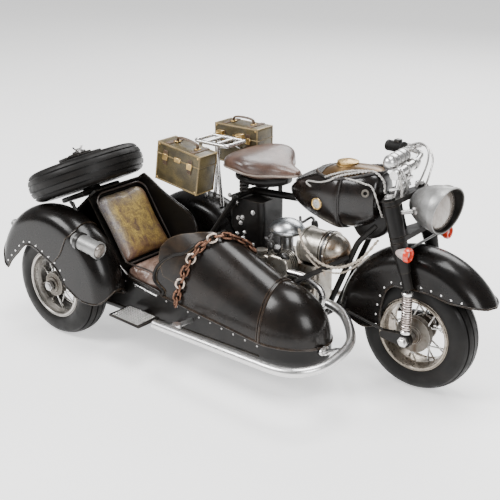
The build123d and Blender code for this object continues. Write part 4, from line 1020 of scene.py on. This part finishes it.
# ---- marker lamps of the sidecar ----
start, ahead = Vector((-85.2, -58.6, 74.4)), Vector((22, 0, -2.9)).normalized()
piece("marker_lamp_barrel", [lathe([(0, -1.6), (2.4, -1.4), (4.2, 0.0), (4.9, 2.6), (5.0, 4.0), (5.0, 19.0),
            (5.5, 19.4), (5.6, 22.0), (5.0, 22.6), (4.4, 22.0)], start, ahead, 40)], LAMP, sharp=30,
    replaces="marker_lamps")
piece("marker_lamp_band", [lathe([(4.9, 3.2), (5.9, 3.4), (6.0, 6.0), (4.9, 6.2)], start, ahead, 40, closed=True)],
    CAP, sharp=30, replaces="marker_lamps")
piece("marker_lamp_lens", [lathe([(4.6, 21.6), (4.0, 22.9), (2.2, 23.9), (0, 24.2)], start, ahead, 40)], GLASS,
    replaces="marker_lamps")
tail_start, tail_dir = Vector((-158.2, -50, 67.8)), Vector((6.0, 0, -3.0)).normalized()
piece("tail_lamp", [lathe([(0, -0.3), (1.8, 0.0), (2.7, 0.8), (2.9, 2.0), (2.6, 5.5), (2.6, 7.4)], tail_start,
            tail_dir, 28)], LAMP, sharp=30, replaces="marker_lamps")

# ---- bumper ----
BUMPER = [(-20, -57, 34), (20, -59.2, 35.2), (56, -61.2, 36.2), (76, -61.6, 36.8), (88, -57.4, 37.6),
    (95.4, -47, 38.8), (97.2, -33, 40.4), (95.2, -19, 42.0), (88, -7.5, 43.4), (76, 4.5, 45.0), (66, 9.4, 45.9),
    (60.5, 10.2, 46.4)]
bar = [curve([Vector(p) for p in BUMPER], 8, 2.75, 20), sweep([(-8, -57.8, 34.3), (-8, -36.5, 32.5)], 1.5, 12),
    sweep([(-8, -50.0, 35.0), (-8, -50.0, 31.8)], 3.0, 20), sweep([(76.0, -20, 30.6), (94.2, -26, 40.6)], 1.3, 12),
    sweep([(-20, -57, 34), (-20, -36.6, 26)], 1.6, 12), sweep([(61.6, 10.0, 46.2), (57.0, 5.6, 42.4)], 1.5, 12)]
piece("bumper_tube", bar, SATIN, sharp=60, replaces="bumper_bar")
plates = []
for centre, out, a, b in (((86.0, -24.6, 36.6), (0.55, 0, -0.84), 5.2, 3.4),
    ((78.2, -19.6, 32.2), (1, 0, 0.1), 4.2, 2.6)):
    plates.append(lathe([(0, 0), (a, 0), (a, 0.6), (a * 0.85, 1.0), (0, 1.0)], centre, out, 32, squeeze=b / a))
piece("bumper_brackets", plates, STEEL, sharp=30)

# ---- steering parts ----
springs = []
collars = []
for side in (-1, 1):
    low = bike(FRONT_X, side * FORK_HALF, WHEEL_Z)
    high = steer(FORK_LEAD, side * FORK_HALF, -39)
    way = (high - low).normalized()
    length = (high - low).length
    a, b = frame_along(way)
    line = []
    for k in range(301):
        share = k / 300
        turn = 2 * math.pi * 15 * share
        line.append(low + way * length * (0.17 + 0.68 * share) + (a * math.cos(turn) + b * math.sin(turn)) * 2.6)
    springs.append(sweep(line, 0.52, 8))
    springs.append(sweep([low + way * length * 0.15, low + way * length * 0.9], 2.1, 14))
    for share in (0.14, 0.86):
        collars.append(lathe([(1.5, 0), (3.3, 0.1), (3.4, 1.4), (3.0, 1.9), (1.5, 1.9)], low + way * length * share,
                way, 28, closed=True))
piece("fork_coils", springs, ROSY, "steering", replaces="fork_springs")
piece("fork_coil_cups", collars, STEEL, "steering", sharp=30, replaces="fork_springs")

LAMP_AT = bike(119, 0, 113)
LAMP_TURN = math.radians(10)
FORWARD = Vector((math.cos(LAMP_TURN), -math.sin(LAMP_TURN), 0))
SIDEWAYS = Vector((math.sin(LAMP_TURN), math.cos(LAMP_TURN), 0))
piece("headlamp_bucket", [lathe([(0, -20.4), (2.2, -20.0), (5.2, -18.2), (8.6, -14.8), (11.0, -10.6), (12.5, -6.0),
            (13.4, -1.6), (13.8, 2.6), (12.9, 2.6), (12.2, -2.0), (11.2, -6.0), (0, -12.0)], LAMP_AT, FORWARD, 72)],
    LAMP, "steering", sharp=40, replaces="headlamp_shell")


def lamp_ring(profile):
    """A ring round the lamp's mouth that reaches further forward at the top. profile is (radius, depth, reach)."""
    rows = []
    for i in range(72):
        turn = 2 * math.pi * i / 72
        reach = 2.2 + 2.6 * math.sin(turn)
        spoke = SIDEWAYS * math.cos(turn) + Vector((0, 0, math.sin(turn)))
        rows.append([LAMP_AT + FORWARD * (depth + reach * share) + spoke * r for r, depth, share in profile])
    return grid(rows + [rows[0]], closed_v=True)


piece("headlamp_bezel", [lamp_ring([(13.6, 0.6, 0), (14.2, 1.0, 0), (14.3, 2.4, 0), (14.05, 3.0, 0.1),
            (14.15, 3.2, 1), (13.9, 3.5, 1), (13.45, 3.4, 1), (13.3, 2.0, 0.2), (13.2, 0.8, 0)])], LAMP,
    "steering", sharp=50, replaces="headlamp_shell")
piece("headlamp_visor", [lamp_ring([(13.25, 0.8, 0), (13.3, 3.1, 0.92), (12.9, 3.1, 0.92), (12.4, 0.8, 0)])], ENAMEL,
    "steering", sharp=50, replaces="headlamp_shell")
piece("headlamp_glass", [lathe([(12.5, 0.2), (11.6, 1.0), (9.8, 1.7), (7.0, 2.3), (3.6, 2.7), (0, 2.8)], LAMP_AT,
            FORWARD, 64)], GLASS, "steering", replaces="headlamp_lens")
ears = []
for side in (-1, 1):
    root = LAMP_AT - FORWARD * 8.6 + SIDEWAYS * side * 11.6 - Vector((0, 0, 0.8))
    ears.append(sweep([steer(9.1, side * 15.0, 4), root], 1.3, 12))
    ears.append(lathe([(0, 0), (2.4, 0), (2.4, 1.0), (1.6, 1.6), (0, 1.7)], root, SIDEWAYS * side, 20))
piece("headlamp_ears", ears, DULL, "steering", sharp=30, replaces="headlamp_shell")

red, cones, ties = [], [], []
for side in (-1, 1):
    at = bike(110.7, side * 23.8, 91.2)
    cones.append(lathe([(0, -4.6), (1.4, -4.4), (2.4, -2.6), (3.5, 0.6), (3.7, 1.8)], at, (1, 0, 0), 32))
    cones.append(lathe([(2.6, 2.2), (1.6, 3.0), (0, 3.4)], at, (1, 0, 0), 32))
    red.append(lathe([(3.6, 1.2), (4.1, 1.6), (4.2, 3.4), (3.7, 4.3), (3.0, 4.4), (2.6, 3.6), (2.6, 1.6)], at,
            (1, 0, 0), 32, closed=True))
    ties.append(sweep([bike(108.4, side * FORK_HALF, 91.2), bike(110.7, side * 17.6, 91.2), at], 0.95, 10))
ties.append(sweep([bike(109.4, -23.8, 91.2), bike(109.4, 23.8, 91.2)], 0.8, 10))
piece("signal_cones", cones, CONE, "steering", sharp=40, replaces="turn_signals")
piece("signal_rings", red, RED, "steering", sharp=40, replaces="turn_signals")
piece("signal_ties", ties, CAP, "steering", replaces="turn_signals")

GRIP_AT = bike(81.4, 23.15, 136.87)
grip_dir = (bike(69.5, 26.1, 136.27) - GRIP_AT).normalized()
grip_profile = [(0, -0.4), (3.0, -0.4), (3.8, 0.0), (3.8, 0.9), (3.0, 1.2)]
for k in range(9):
    h = 1.6 + 1.1 * k
    grip_profile += [(3.0, h), (3.35, h + 0.25), (3.35, h + 0.65), (3.0, h + 0.9)]
grip_profile += [(3.3, 11.9), (3.4, 12.8), (2.4, 13.3), (0, 13.4)]
piece("left_grip", [lathe(grip_profile, GRIP_AT, grip_dir, 32)], GRIP, "steering", sharp=40,
    replaces="grips")
piece("grip_switch", [block(bike(76.5, 24.4, 140.4), (4.2, 3.6, 2.2), grip_dir)], CAP, "steering",
    bevel=0.6)

STEM = steer(0, 0, 1) - steer(0, 0, 0)
bolts = []
for side in (-1, 1):
    bolts += hex_head(steer(FORK_LEAD, side * FORK_HALF, 13.4), STEM, 2.6, 1.6)
    bolts += hex_head(bike(FRONT_X, side * 20.9, WHEEL_Z), (0, side, 0), 2.2, 1.4)
bolts += hex_head(steer(0, 0, 12.2), STEM, 3.0, 2.0)
piece("fork_bolts", bolts, STEEL, "steering", sharp=30)
clamps = []
for y in (-9, 0.5, 9):
    centre = bike(96, y, 131.0 + (y + 13.5) * 0.094)
    clamps.append(lathe([(2.6, -1.2), (3.4, -1.1), (3.5, 1.1), (2.6, 1.2)], centre, (0, 1, 0.094), 28, closed=True))
clamps.append(block(bike(95.4, 0, 126.6), (4.6, 12.5, 1.8)))
clamps.append(block(bike(93.0, 0, 121.0), (7.0, 14.0, 2.0), steer(1, 0, 0) - steer(0, 0, 0), STEM))
piece("bar_clamps", clamps, STEEL, "steering", sharp=30, bevel=0.4)
pods = []
for y in (-6.6, -2.0, 2.8, 7.6):
    pods.append(lathe([(4.15, -0.5), (4.5, -0.4), (4.5, 0.4), (4.15, 0.5)], bike(89.6, y, 136.2 + (y + 7) / 15),
            (0, 1, 0.067), 32, closed=True))
piece("pod_rings", pods, DULL, "steering", sharp=30)


def twist(points, radius, strands, turns):
    """Strands twisted round a smooth line."""
    line = smooth_line(points, 8)
    found = []
    for strand in range(strands):
        path = []
        side = None
        for i, p in enumerate(line):
            ahead = (line[min(i + 1, len(line) - 1)] - line[max(i - 1, 0)]).normalized()
            if side is None:
                side, up = frame_along(ahead)
            else:
                side = (side - ahead * side.dot(ahead)).normalized()
                up = side.cross(ahead)
            turn = 2 * math.pi * (turns * i / len(line) + strand / strands)
            path.append(p + (side * math.cos(turn) + up * math.sin(turn)) * radius * 0.95)
        found.append(sweep(path, radius, 8))
    return found


cables = [curve([bike(85, 21.0, 139.4), bike(93, 20.6, 142.4), bike(100.0, 17, 140.6), bike(102.6, 13, 135),
            bike(102, 9, 127), bike(100, 6, 120.4)], 6, 0.62, 8), curve([bike(87, 21.6, 139.0), bike(96, 21.6, 141.0),
            bike(103.0, 18, 135.6), bike(104, 13, 126), bike(102, 10, 117), bike(99, 9, 108)], 6, 0.62, 8),
    curve([bike(96.5, -9, 134.0), bike(99.6, -10.2, 133.6), bike(101.8, -9.4, 128), bike(101.2, -7, 122),
            bike(99.8, -6, 118.4)], 6, 0.62, 8)]
piece("bar_cables", cables, DULL, "steering", replaces="control_cables")
cream = twist([bike(97, -11.5, 131.6), bike(100.4, -13, 128), bike(101.0, -12.4, 120), bike(98.6, -11, 112),
        bike(98, -10, 106)], 0.42, 2, 7)
piece("bar_wire_pair", cream, PALE, "steering")

# ---- wiring on the tank and the engine ----
hook = [tank_point(40, 158, 0.6), tank_point(36.0, 150, 0.8), tank_point(36.2, 144, 0.8), tank_point(40, 146, 0.9),
    tank_point(46, 149, 0.9), tank_point(52, 147, 0.9), tank_point(57, 141, 1.0)]
loom = [curve(hook, 6, 0.6, 10)]
loom += twist([tank_point(56, 142, 1.2), tank_point(61, 136, 1.5), tank_point(67, 130, 1.5), tank_point(73, 122, 1.4),
        tank_point(79, 112, 1.2), bike(85.6, -6.2, 124.4), bike(88, -8.2, 118)], 0.4, 2, 10)
loom += twist([tank_point(50, 138, 1.0), tank_point(56, 133, 1.4), tank_point(62, 128, 1.6), tank_point(69, 122, 1.5),
        tank_point(76, 114, 1.2)], 0.4, 2, 10)
loom += twist([tank_point(64, 141, 1.0), tank_point(71, 144, 1.2), tank_point(77, 148, 1.2),
        tank_point(81.4, 154, 1.0), bike(86, -10.6, 110), bike(88, -9.8, 104)], 0.34, 2, 8)
piece("tank_loom", loom, PALE, replaces="loom_wires")
loops = twist([bike(33, -14.0, 85.6), bike(36.6, -17.0, 81.6), bike(42.4, -20.6, 77.4), bike(54.4, -23.0, 71.8),
        bike(66.5, -23.4, 71.6), bike(74.6, -22.4, 75.0), bike(82.3, -20.2, 80.8), bike(88.6, -14.0, 91.4)], 0.5, 2,
    14)
loops += twist([bike(43, -20.0, 72.6), bike(54, -21.8, 67.4), bike(66, -22.0, 67.6), bike(75, -20.8, 72.0),
        bike(84.6, -16.6, 81.4)], 0.38, 2, 12)
piece("engine_loom", loops, CREAM, replaces="loom_wires")

# ---- engine details ----
screws = []
ribs = []
centre = bike(14, -14.0, 42)
cover = lathe([(0, 2.6), (3.0, 2.6), (3.6, 1.8), (6.4, 1.6), (7.4, 0.9), (8.2, 0.0), (8.2, -1.0)], centre, (0, -1, 0),
    48)
for k in range(6):
    turn = math.radians(60 * k + 20)
    screws.append(stud(centre + Vector((math.cos(turn) * 6.6, -1.2, math.sin(turn) * 6.6)), (0, -1, 0), 0.8))
for k in range(10):
    turn = math.radians(36 * k)
    rim_at = bike(50.6, -4, 73) + Vector((1.0, math.cos(turn) * 12.0, math.sin(turn) * 12.0))
    screws.append(stud(rim_at, (0, math.cos(turn), math.sin(turn)), 0.75))
for x in (33.6, 47.4, 49.2):
    ribs.append(lathe([(11.1, -0.5), (11.9, -0.4), (11.9, 0.4), (11.1, 0.5)], bike(x, -4, 73), (1, 0, 0), 64,
            closed=True))
for z in (34, 38, 42, 46, 50, 54):
    ribs.append(sweep([bike(28, -11.7, z), bike(41.5, -11.7, z)], 0.8, 8))
piece("engine_ribs", ribs + [cover], CAST, sharp=35)
piece("cover_gasket", [lathe([(11.2, -0.8), (12.3, -0.7), (12.3, 0.7), (11.2, 0.8)], bike(50.4, -4, 73), (1, 0, 0),
            64, closed=True)], CAP, sharp=35)
piece("engine_screws", screws, STEEL)
piece("air_dome", [lathe([(0, 0), (5.6, 0), (5.6, 2.5), (4.2, 6), (4.2, 13.4), (9.4, 15.6), (11.0, 17.2),
            (11.3, 18.2), (10.9, 19.6), (9.0, 22.0), (6.0, 23.8), (3.0, 24.6), (0, 24.8)], bike(17.4, -5, 61.8),
            (0, 0, 1), 64), lathe([(10.8, 17.2), (11.6, 17.5), (11.6, 18.4), (10.8, 18.8)], bike(17.4, -5, 61.8),
            (0, 0, 1), 64, closed=True)], DOME, sharp=40, replaces="air_cleaner")
caps = [lathe([(0, -3.0), (1.8, -2.8), (2.5, -1.4), (2.6, 1.2), (1.9, 2.6), (0, 2.9)], bike(23.6, -23.6, 73.0),
        (0.3, -0.4, 0.7), 24), lathe([(0, -3.2), (1.6, -3.0), (2.3, -1.6), (2.3, 1.0), (1.6, 2.4), (0, 2.6)],
        bike(28.4, -22.8, 69.2), (-0.5, -0.6, 0.4), 24),]
leads = []
for side in (-1, 1):
    base = bike(21, side * 22.4, 68)
    up = Vector((-0.3, side * 0.2, 1)).normalized()
    caps.append(lathe([(0, 10.2), (1.6, 10.0), (2.3, 9.0), (2.5, 6.2), (2.0, 4.4), (1.6, 4.0)], base, up, 24))
    leads.append(curve([base + up * 9.6, base + up * 11.6 + Vector((-2.4, 0, 0)), bike(12.6, side * 18, 76.6),
                bike(15.4, side * 12, 82.6)], 6, 0.95, 10))
leads.append(curve([bike(23.4, -23.2, 71.4), bike(18, -22.0, 70.6), bike(14.6, -19.6, 73.6), bike(14.6, -14.6, 79.6)],
        6, 0.95, 10))
piece("plug_caps", caps, CAP)
piece("plug_leads", leads, CORD)
CARB_X, CARB_Y = 6, -16.5
carb = [lathe([(0, 0), (3.6, 0), (3.8, 5.0), (3.0, 6.0), (3.0, 9.0), (3.9, 9.4), (3.9, 10.8), (1.6, 11.6), (0, 11.8)],
        bike(CARB_X, CARB_Y, 56), (0, 0, 1), 36), sweep([bike(CARB_X, CARB_Y, 63), bike(16, -17, 62)], 2.0, 16),
    lathe([(2.9, 0), (4.4, 0.1), (4.4, 1.0), (2.9, 1.1)], bike(CARB_X, CARB_Y, 61.4), (0, 0, 1), 36, closed=True)]
piece("carburettor", carb, CAST, sharp=30)
bolt_column = []
for x, z in ((-23, 96), (-17.5, 92), (-16, 82), (-12.6, 83), (-14, 79), (-17, 71), (-11, 73), (-12, 69), (-4, 88),
    (-4, 66)):
    bolt_column += list(hex_head(bike(x, -12.4, z), (0, -1, 0), 1.25, 0.9))
piece("side_box_bolts", bolt_column, STEEL, sharp=30)

# ---- luggage ----
def case_frame(origin, pitch):
    """A case's middle and its forward and upward directions."""
    t = math.radians(pitch)
    return Vector(origin), Vector((math.cos(t), 0, -math.sin(t))), Vector((math.sin(t), 0, math.cos(t)))


CASES = [("right", case_frame(bike(-53, -21, 112.5), 8.5)), ("left", case_frame(bike(-41.5, 25, 120), 0))]
LENGTH, WIDTH, HEIGHT = 37.0, 17.6, 27.0
for label, (origin, ahead, above) in CASES:
    def at(x, y, z):
        return origin + ahead * x + Vector((0, 1, 0)) * y + above * z

    piece(f"{label}_case_body", [block(at(0, 0, 0), (LENGTH - 0.8, WIDTH - 0.8, HEIGHT - 0.6), ahead, above)], CASE,
        bevel=1.6, bevel_segments=4, sharp=60, replaces=f"{label}_case")
    trim, straps, metal = [], [], []
    for z in (HEIGHT / 2 - 1.0, -HEIGHT / 2 + 1.0):
        loop = [at(sx * (LENGTH / 2 - 0.7), sy * (WIDTH / 2 - 0.7), z) for sx,
            sy in ((-1, -1), (1, -1), (1, 1), (-1, 1))]
        trim.append(sweep(loop, 0.7, 8, closed=True))
    for sx in (-1, 1):
        loop = [at(sx * (LENGTH / 2 - 0.8), sy * (WIDTH / 2 - 0.6), sz * (HEIGHT / 2 - 0.6)) for sy,
            sz in ((-1, -1), (1, -1), (1, 1), (-1, 1))]
        trim.append(sweep(loop, 0.6, 8, closed=True))
    seam_z = HEIGHT / 2 - 8.2
    loop = [at(sx * (LENGTH / 2 - 0.35), sy * (WIDTH / 2 - 0.35), seam_z) for sx,
        sy in ((-1, -1), (1, -1), (1, 1), (-1, 1))]
    trim.append(sweep(loop, 0.45, 8, closed=True))
    for x in (-10.5, 10.5):
        for sy in (-1, 1):
            straps.append(block(at(x, sy * (WIDTH / 2 - 0.2), seam_z - 1.2), (3.4, 0.9, 9.5), ahead, above))
        straps.append(block(at(x, 0, HEIGHT / 2 - 0.1), (3.4, WIDTH - 1.6, 0.8), ahead, above))
    piece(f"{label}_case_trim", trim, CASE_EDGE)
    piece(f"{label}_case_straps", straps, STRAP, bevel=0.2, bevel_segments=1)
    for sy in (-1, 1):
        for x in (-10.5, 10.5):
            metal.append(block(at(x, sy * (WIDTH / 2 + 0.35), seam_z - 1.0), (4.4, 0.7, 4.2), ahead, above))
        metal.append(block(at(0, sy * (WIDTH / 2), seam_z), (5.2, 0.8, 3.2), ahead, above))
    for sx in (-1, 1):
        for sy in (-1, 1):
            for sz in (-1, 1):
                metal.append(stud(at(sx * (LENGTH / 2 - 2.0), sy * (WIDTH / 2 - 0.45), sz * (HEIGHT / 2 - 2.0)),
                        (0, sy, 0), 0.8))
    piece(f"{label}_case_buckles", metal, BRASS, bevel=0.25, bevel_segments=1)
    top = HEIGHT / 2
    line = smooth_line([at(-8.6, 0, top - 0.4), at(-8.2, 0, top + 2.6), at(-5.4, 0, top + 3.7), at(0, 0, top + 4.0),
            at(5.4, 0, top + 3.7), at(8.2, 0, top + 2.6), at(8.6, 0, top - 0.4)], 5)
    piece(f"{label}_case_handle", [sweep(line, 1.25, 12, flat=0.55)], STRAP, replaces="case_handles")
    feet = [block(at(x, 0, top + 0.3), (3.0, 4.4, 1.0), ahead, above) for x in (-8.6, 8.6)]
    piece(f"{label}_handle_feet", feet, BRASS, bevel=0.3, bevel_segments=1)

piece("rack_blocks", [block(bike(x, 10.5, 128.6), (5.0, 4.0, 3.2)) for x in (-33, -50)], BRASS, bevel=0.5)

# ---- spare wheel strap ----
tilt = math.radians(24)
spare_up = Vector((-math.sin(tilt), 0, math.cos(tilt)))
spare_ahead = Vector((math.cos(tilt), 0, math.sin(tilt)))
spare_at = Vector((-118, CAR_Y - 3, 102))
piece("spare_cradle", [block(spare_at - spare_up * 13.0 - spare_ahead * 2, (24.0, 34.0, 3.6), spare_ahead, spare_up)],
    ENAMEL, bevel=1.2)
piece("spare_strap", [block(spare_at + spare_up * 12.0, (9.0, 31.0, 2.2), spare_ahead, spare_up),
        block(spare_at + spare_up * 13.4, (6.0, 16.0, 1.6), spare_ahead, spare_up)], ENAMEL,
    bevel=0.5)
nut = [lathe([(0, 0), (3.4, 0), (3.4, 1.4), (2.0, 2.0), (1.8, 3.0), (0, 3.2)], spare_at + spare_up * 14.0, spare_up,
        24)]
for side in (-1, 1):
    nut.append(curve([spare_at + spare_up * 15.6, spare_at + spare_up * 16.8 + Vector((0, side * 2.4, 0)),
                spare_at + spare_up * 18.4 + Vector((0, side * 3.8, 0))], 4, 0.9, 10, flat=0.6))
piece("spare_wing_nut", nut, DULL, sharp=35)

# ---- floor, light, camera ----
ground = Shader("pale_floor")
tone = ground.span(ground.noise(3.0, 4, 0.6), 0.3, 0.7)
ground.set(color=ground.mix(tone, (0.90, 0.895, 0.885), (0.86, 0.855, 0.85)), rough=0.7, glow=(1.0, 1.0, 1.0),
    glow_strength=0.75, normal=ground.relief(ground.noise(90, 3, 0.5), 0.02, 0.3))
data = bpy.data.meshes.new("floor")
data.from_pydata([(-30, -30, 0), (30, -30, 0), (30, 30, 0), (-30, 30, 0)], [], [(0, 1, 2, 3)])
data.materials.append(ground.material)
floor = bpy.data.objects.new("floor", data)
bpy.context.scene.collection.objects.link(floor)


def area_light(name, place, target, size, power):
    """A rectangular white light that looks at a target."""
    data = bpy.data.lights.new(name, "AREA")
    data.shape = "RECTANGLE"
    data.size, data.size_y = size
    data.energy = power
    light = bpy.data.objects.new(name, data)
    light.location = place
    light.rotation_euler = (Vector(target) - Vector(place)).to_track_quat("-Z", "Y").to_euler()
    bpy.context.scene.collection.objects.link(light)


area_light("window", (-0.60, -0.75, 0.95), (0, 0, 0.06), (0.6, 0.5), 20.0)
area_light("top", (0.10, 0.10, 1.20), (0, 0, 0.05), (0.6, 0.5), 16.0)
area_light("front", (0.95, -0.45, 0.60), (0.05, 0, 0.07), (0.45, 0.45), 8.0)
area_light("back", (-0.2, 1.0, 0.8), (0, 0, 0.08), (0.9, 0.5), 12.0)
world = bpy.data.worlds.new("studio")
world.use_nodes = True
world.node_tree.nodes["Background"].inputs["Color"].default_value = (1, 1, 1, 1)
world.node_tree.nodes["Background"].inputs["Strength"].default_value = 0.28
bpy.context.scene.world = world

camera_data = bpy.data.cameras.new("camera")
camera_data.lens = 66.13
camera_data.sensor_width = 36.0
camera = bpy.data.objects.new("camera", camera_data)
right = Vector((0.785, 0.620, 0.0)).normalized()
back = Vector((0.577, -0.731, 0.363)).normalized()
above = back.cross(right).normalized()
camera.matrix_world = Matrix.Translation((0.3369, -0.4154, 0.2779)) @ Matrix([[right.x, above.x, back.x, 0],
        [right.y, above.y, back.y, 0], [right.z, above.z, back.z, 0], [0, 0, 0, 1]])
bpy.context.scene.collection.objects.link(camera)
bpy.context.scene.camera = camera
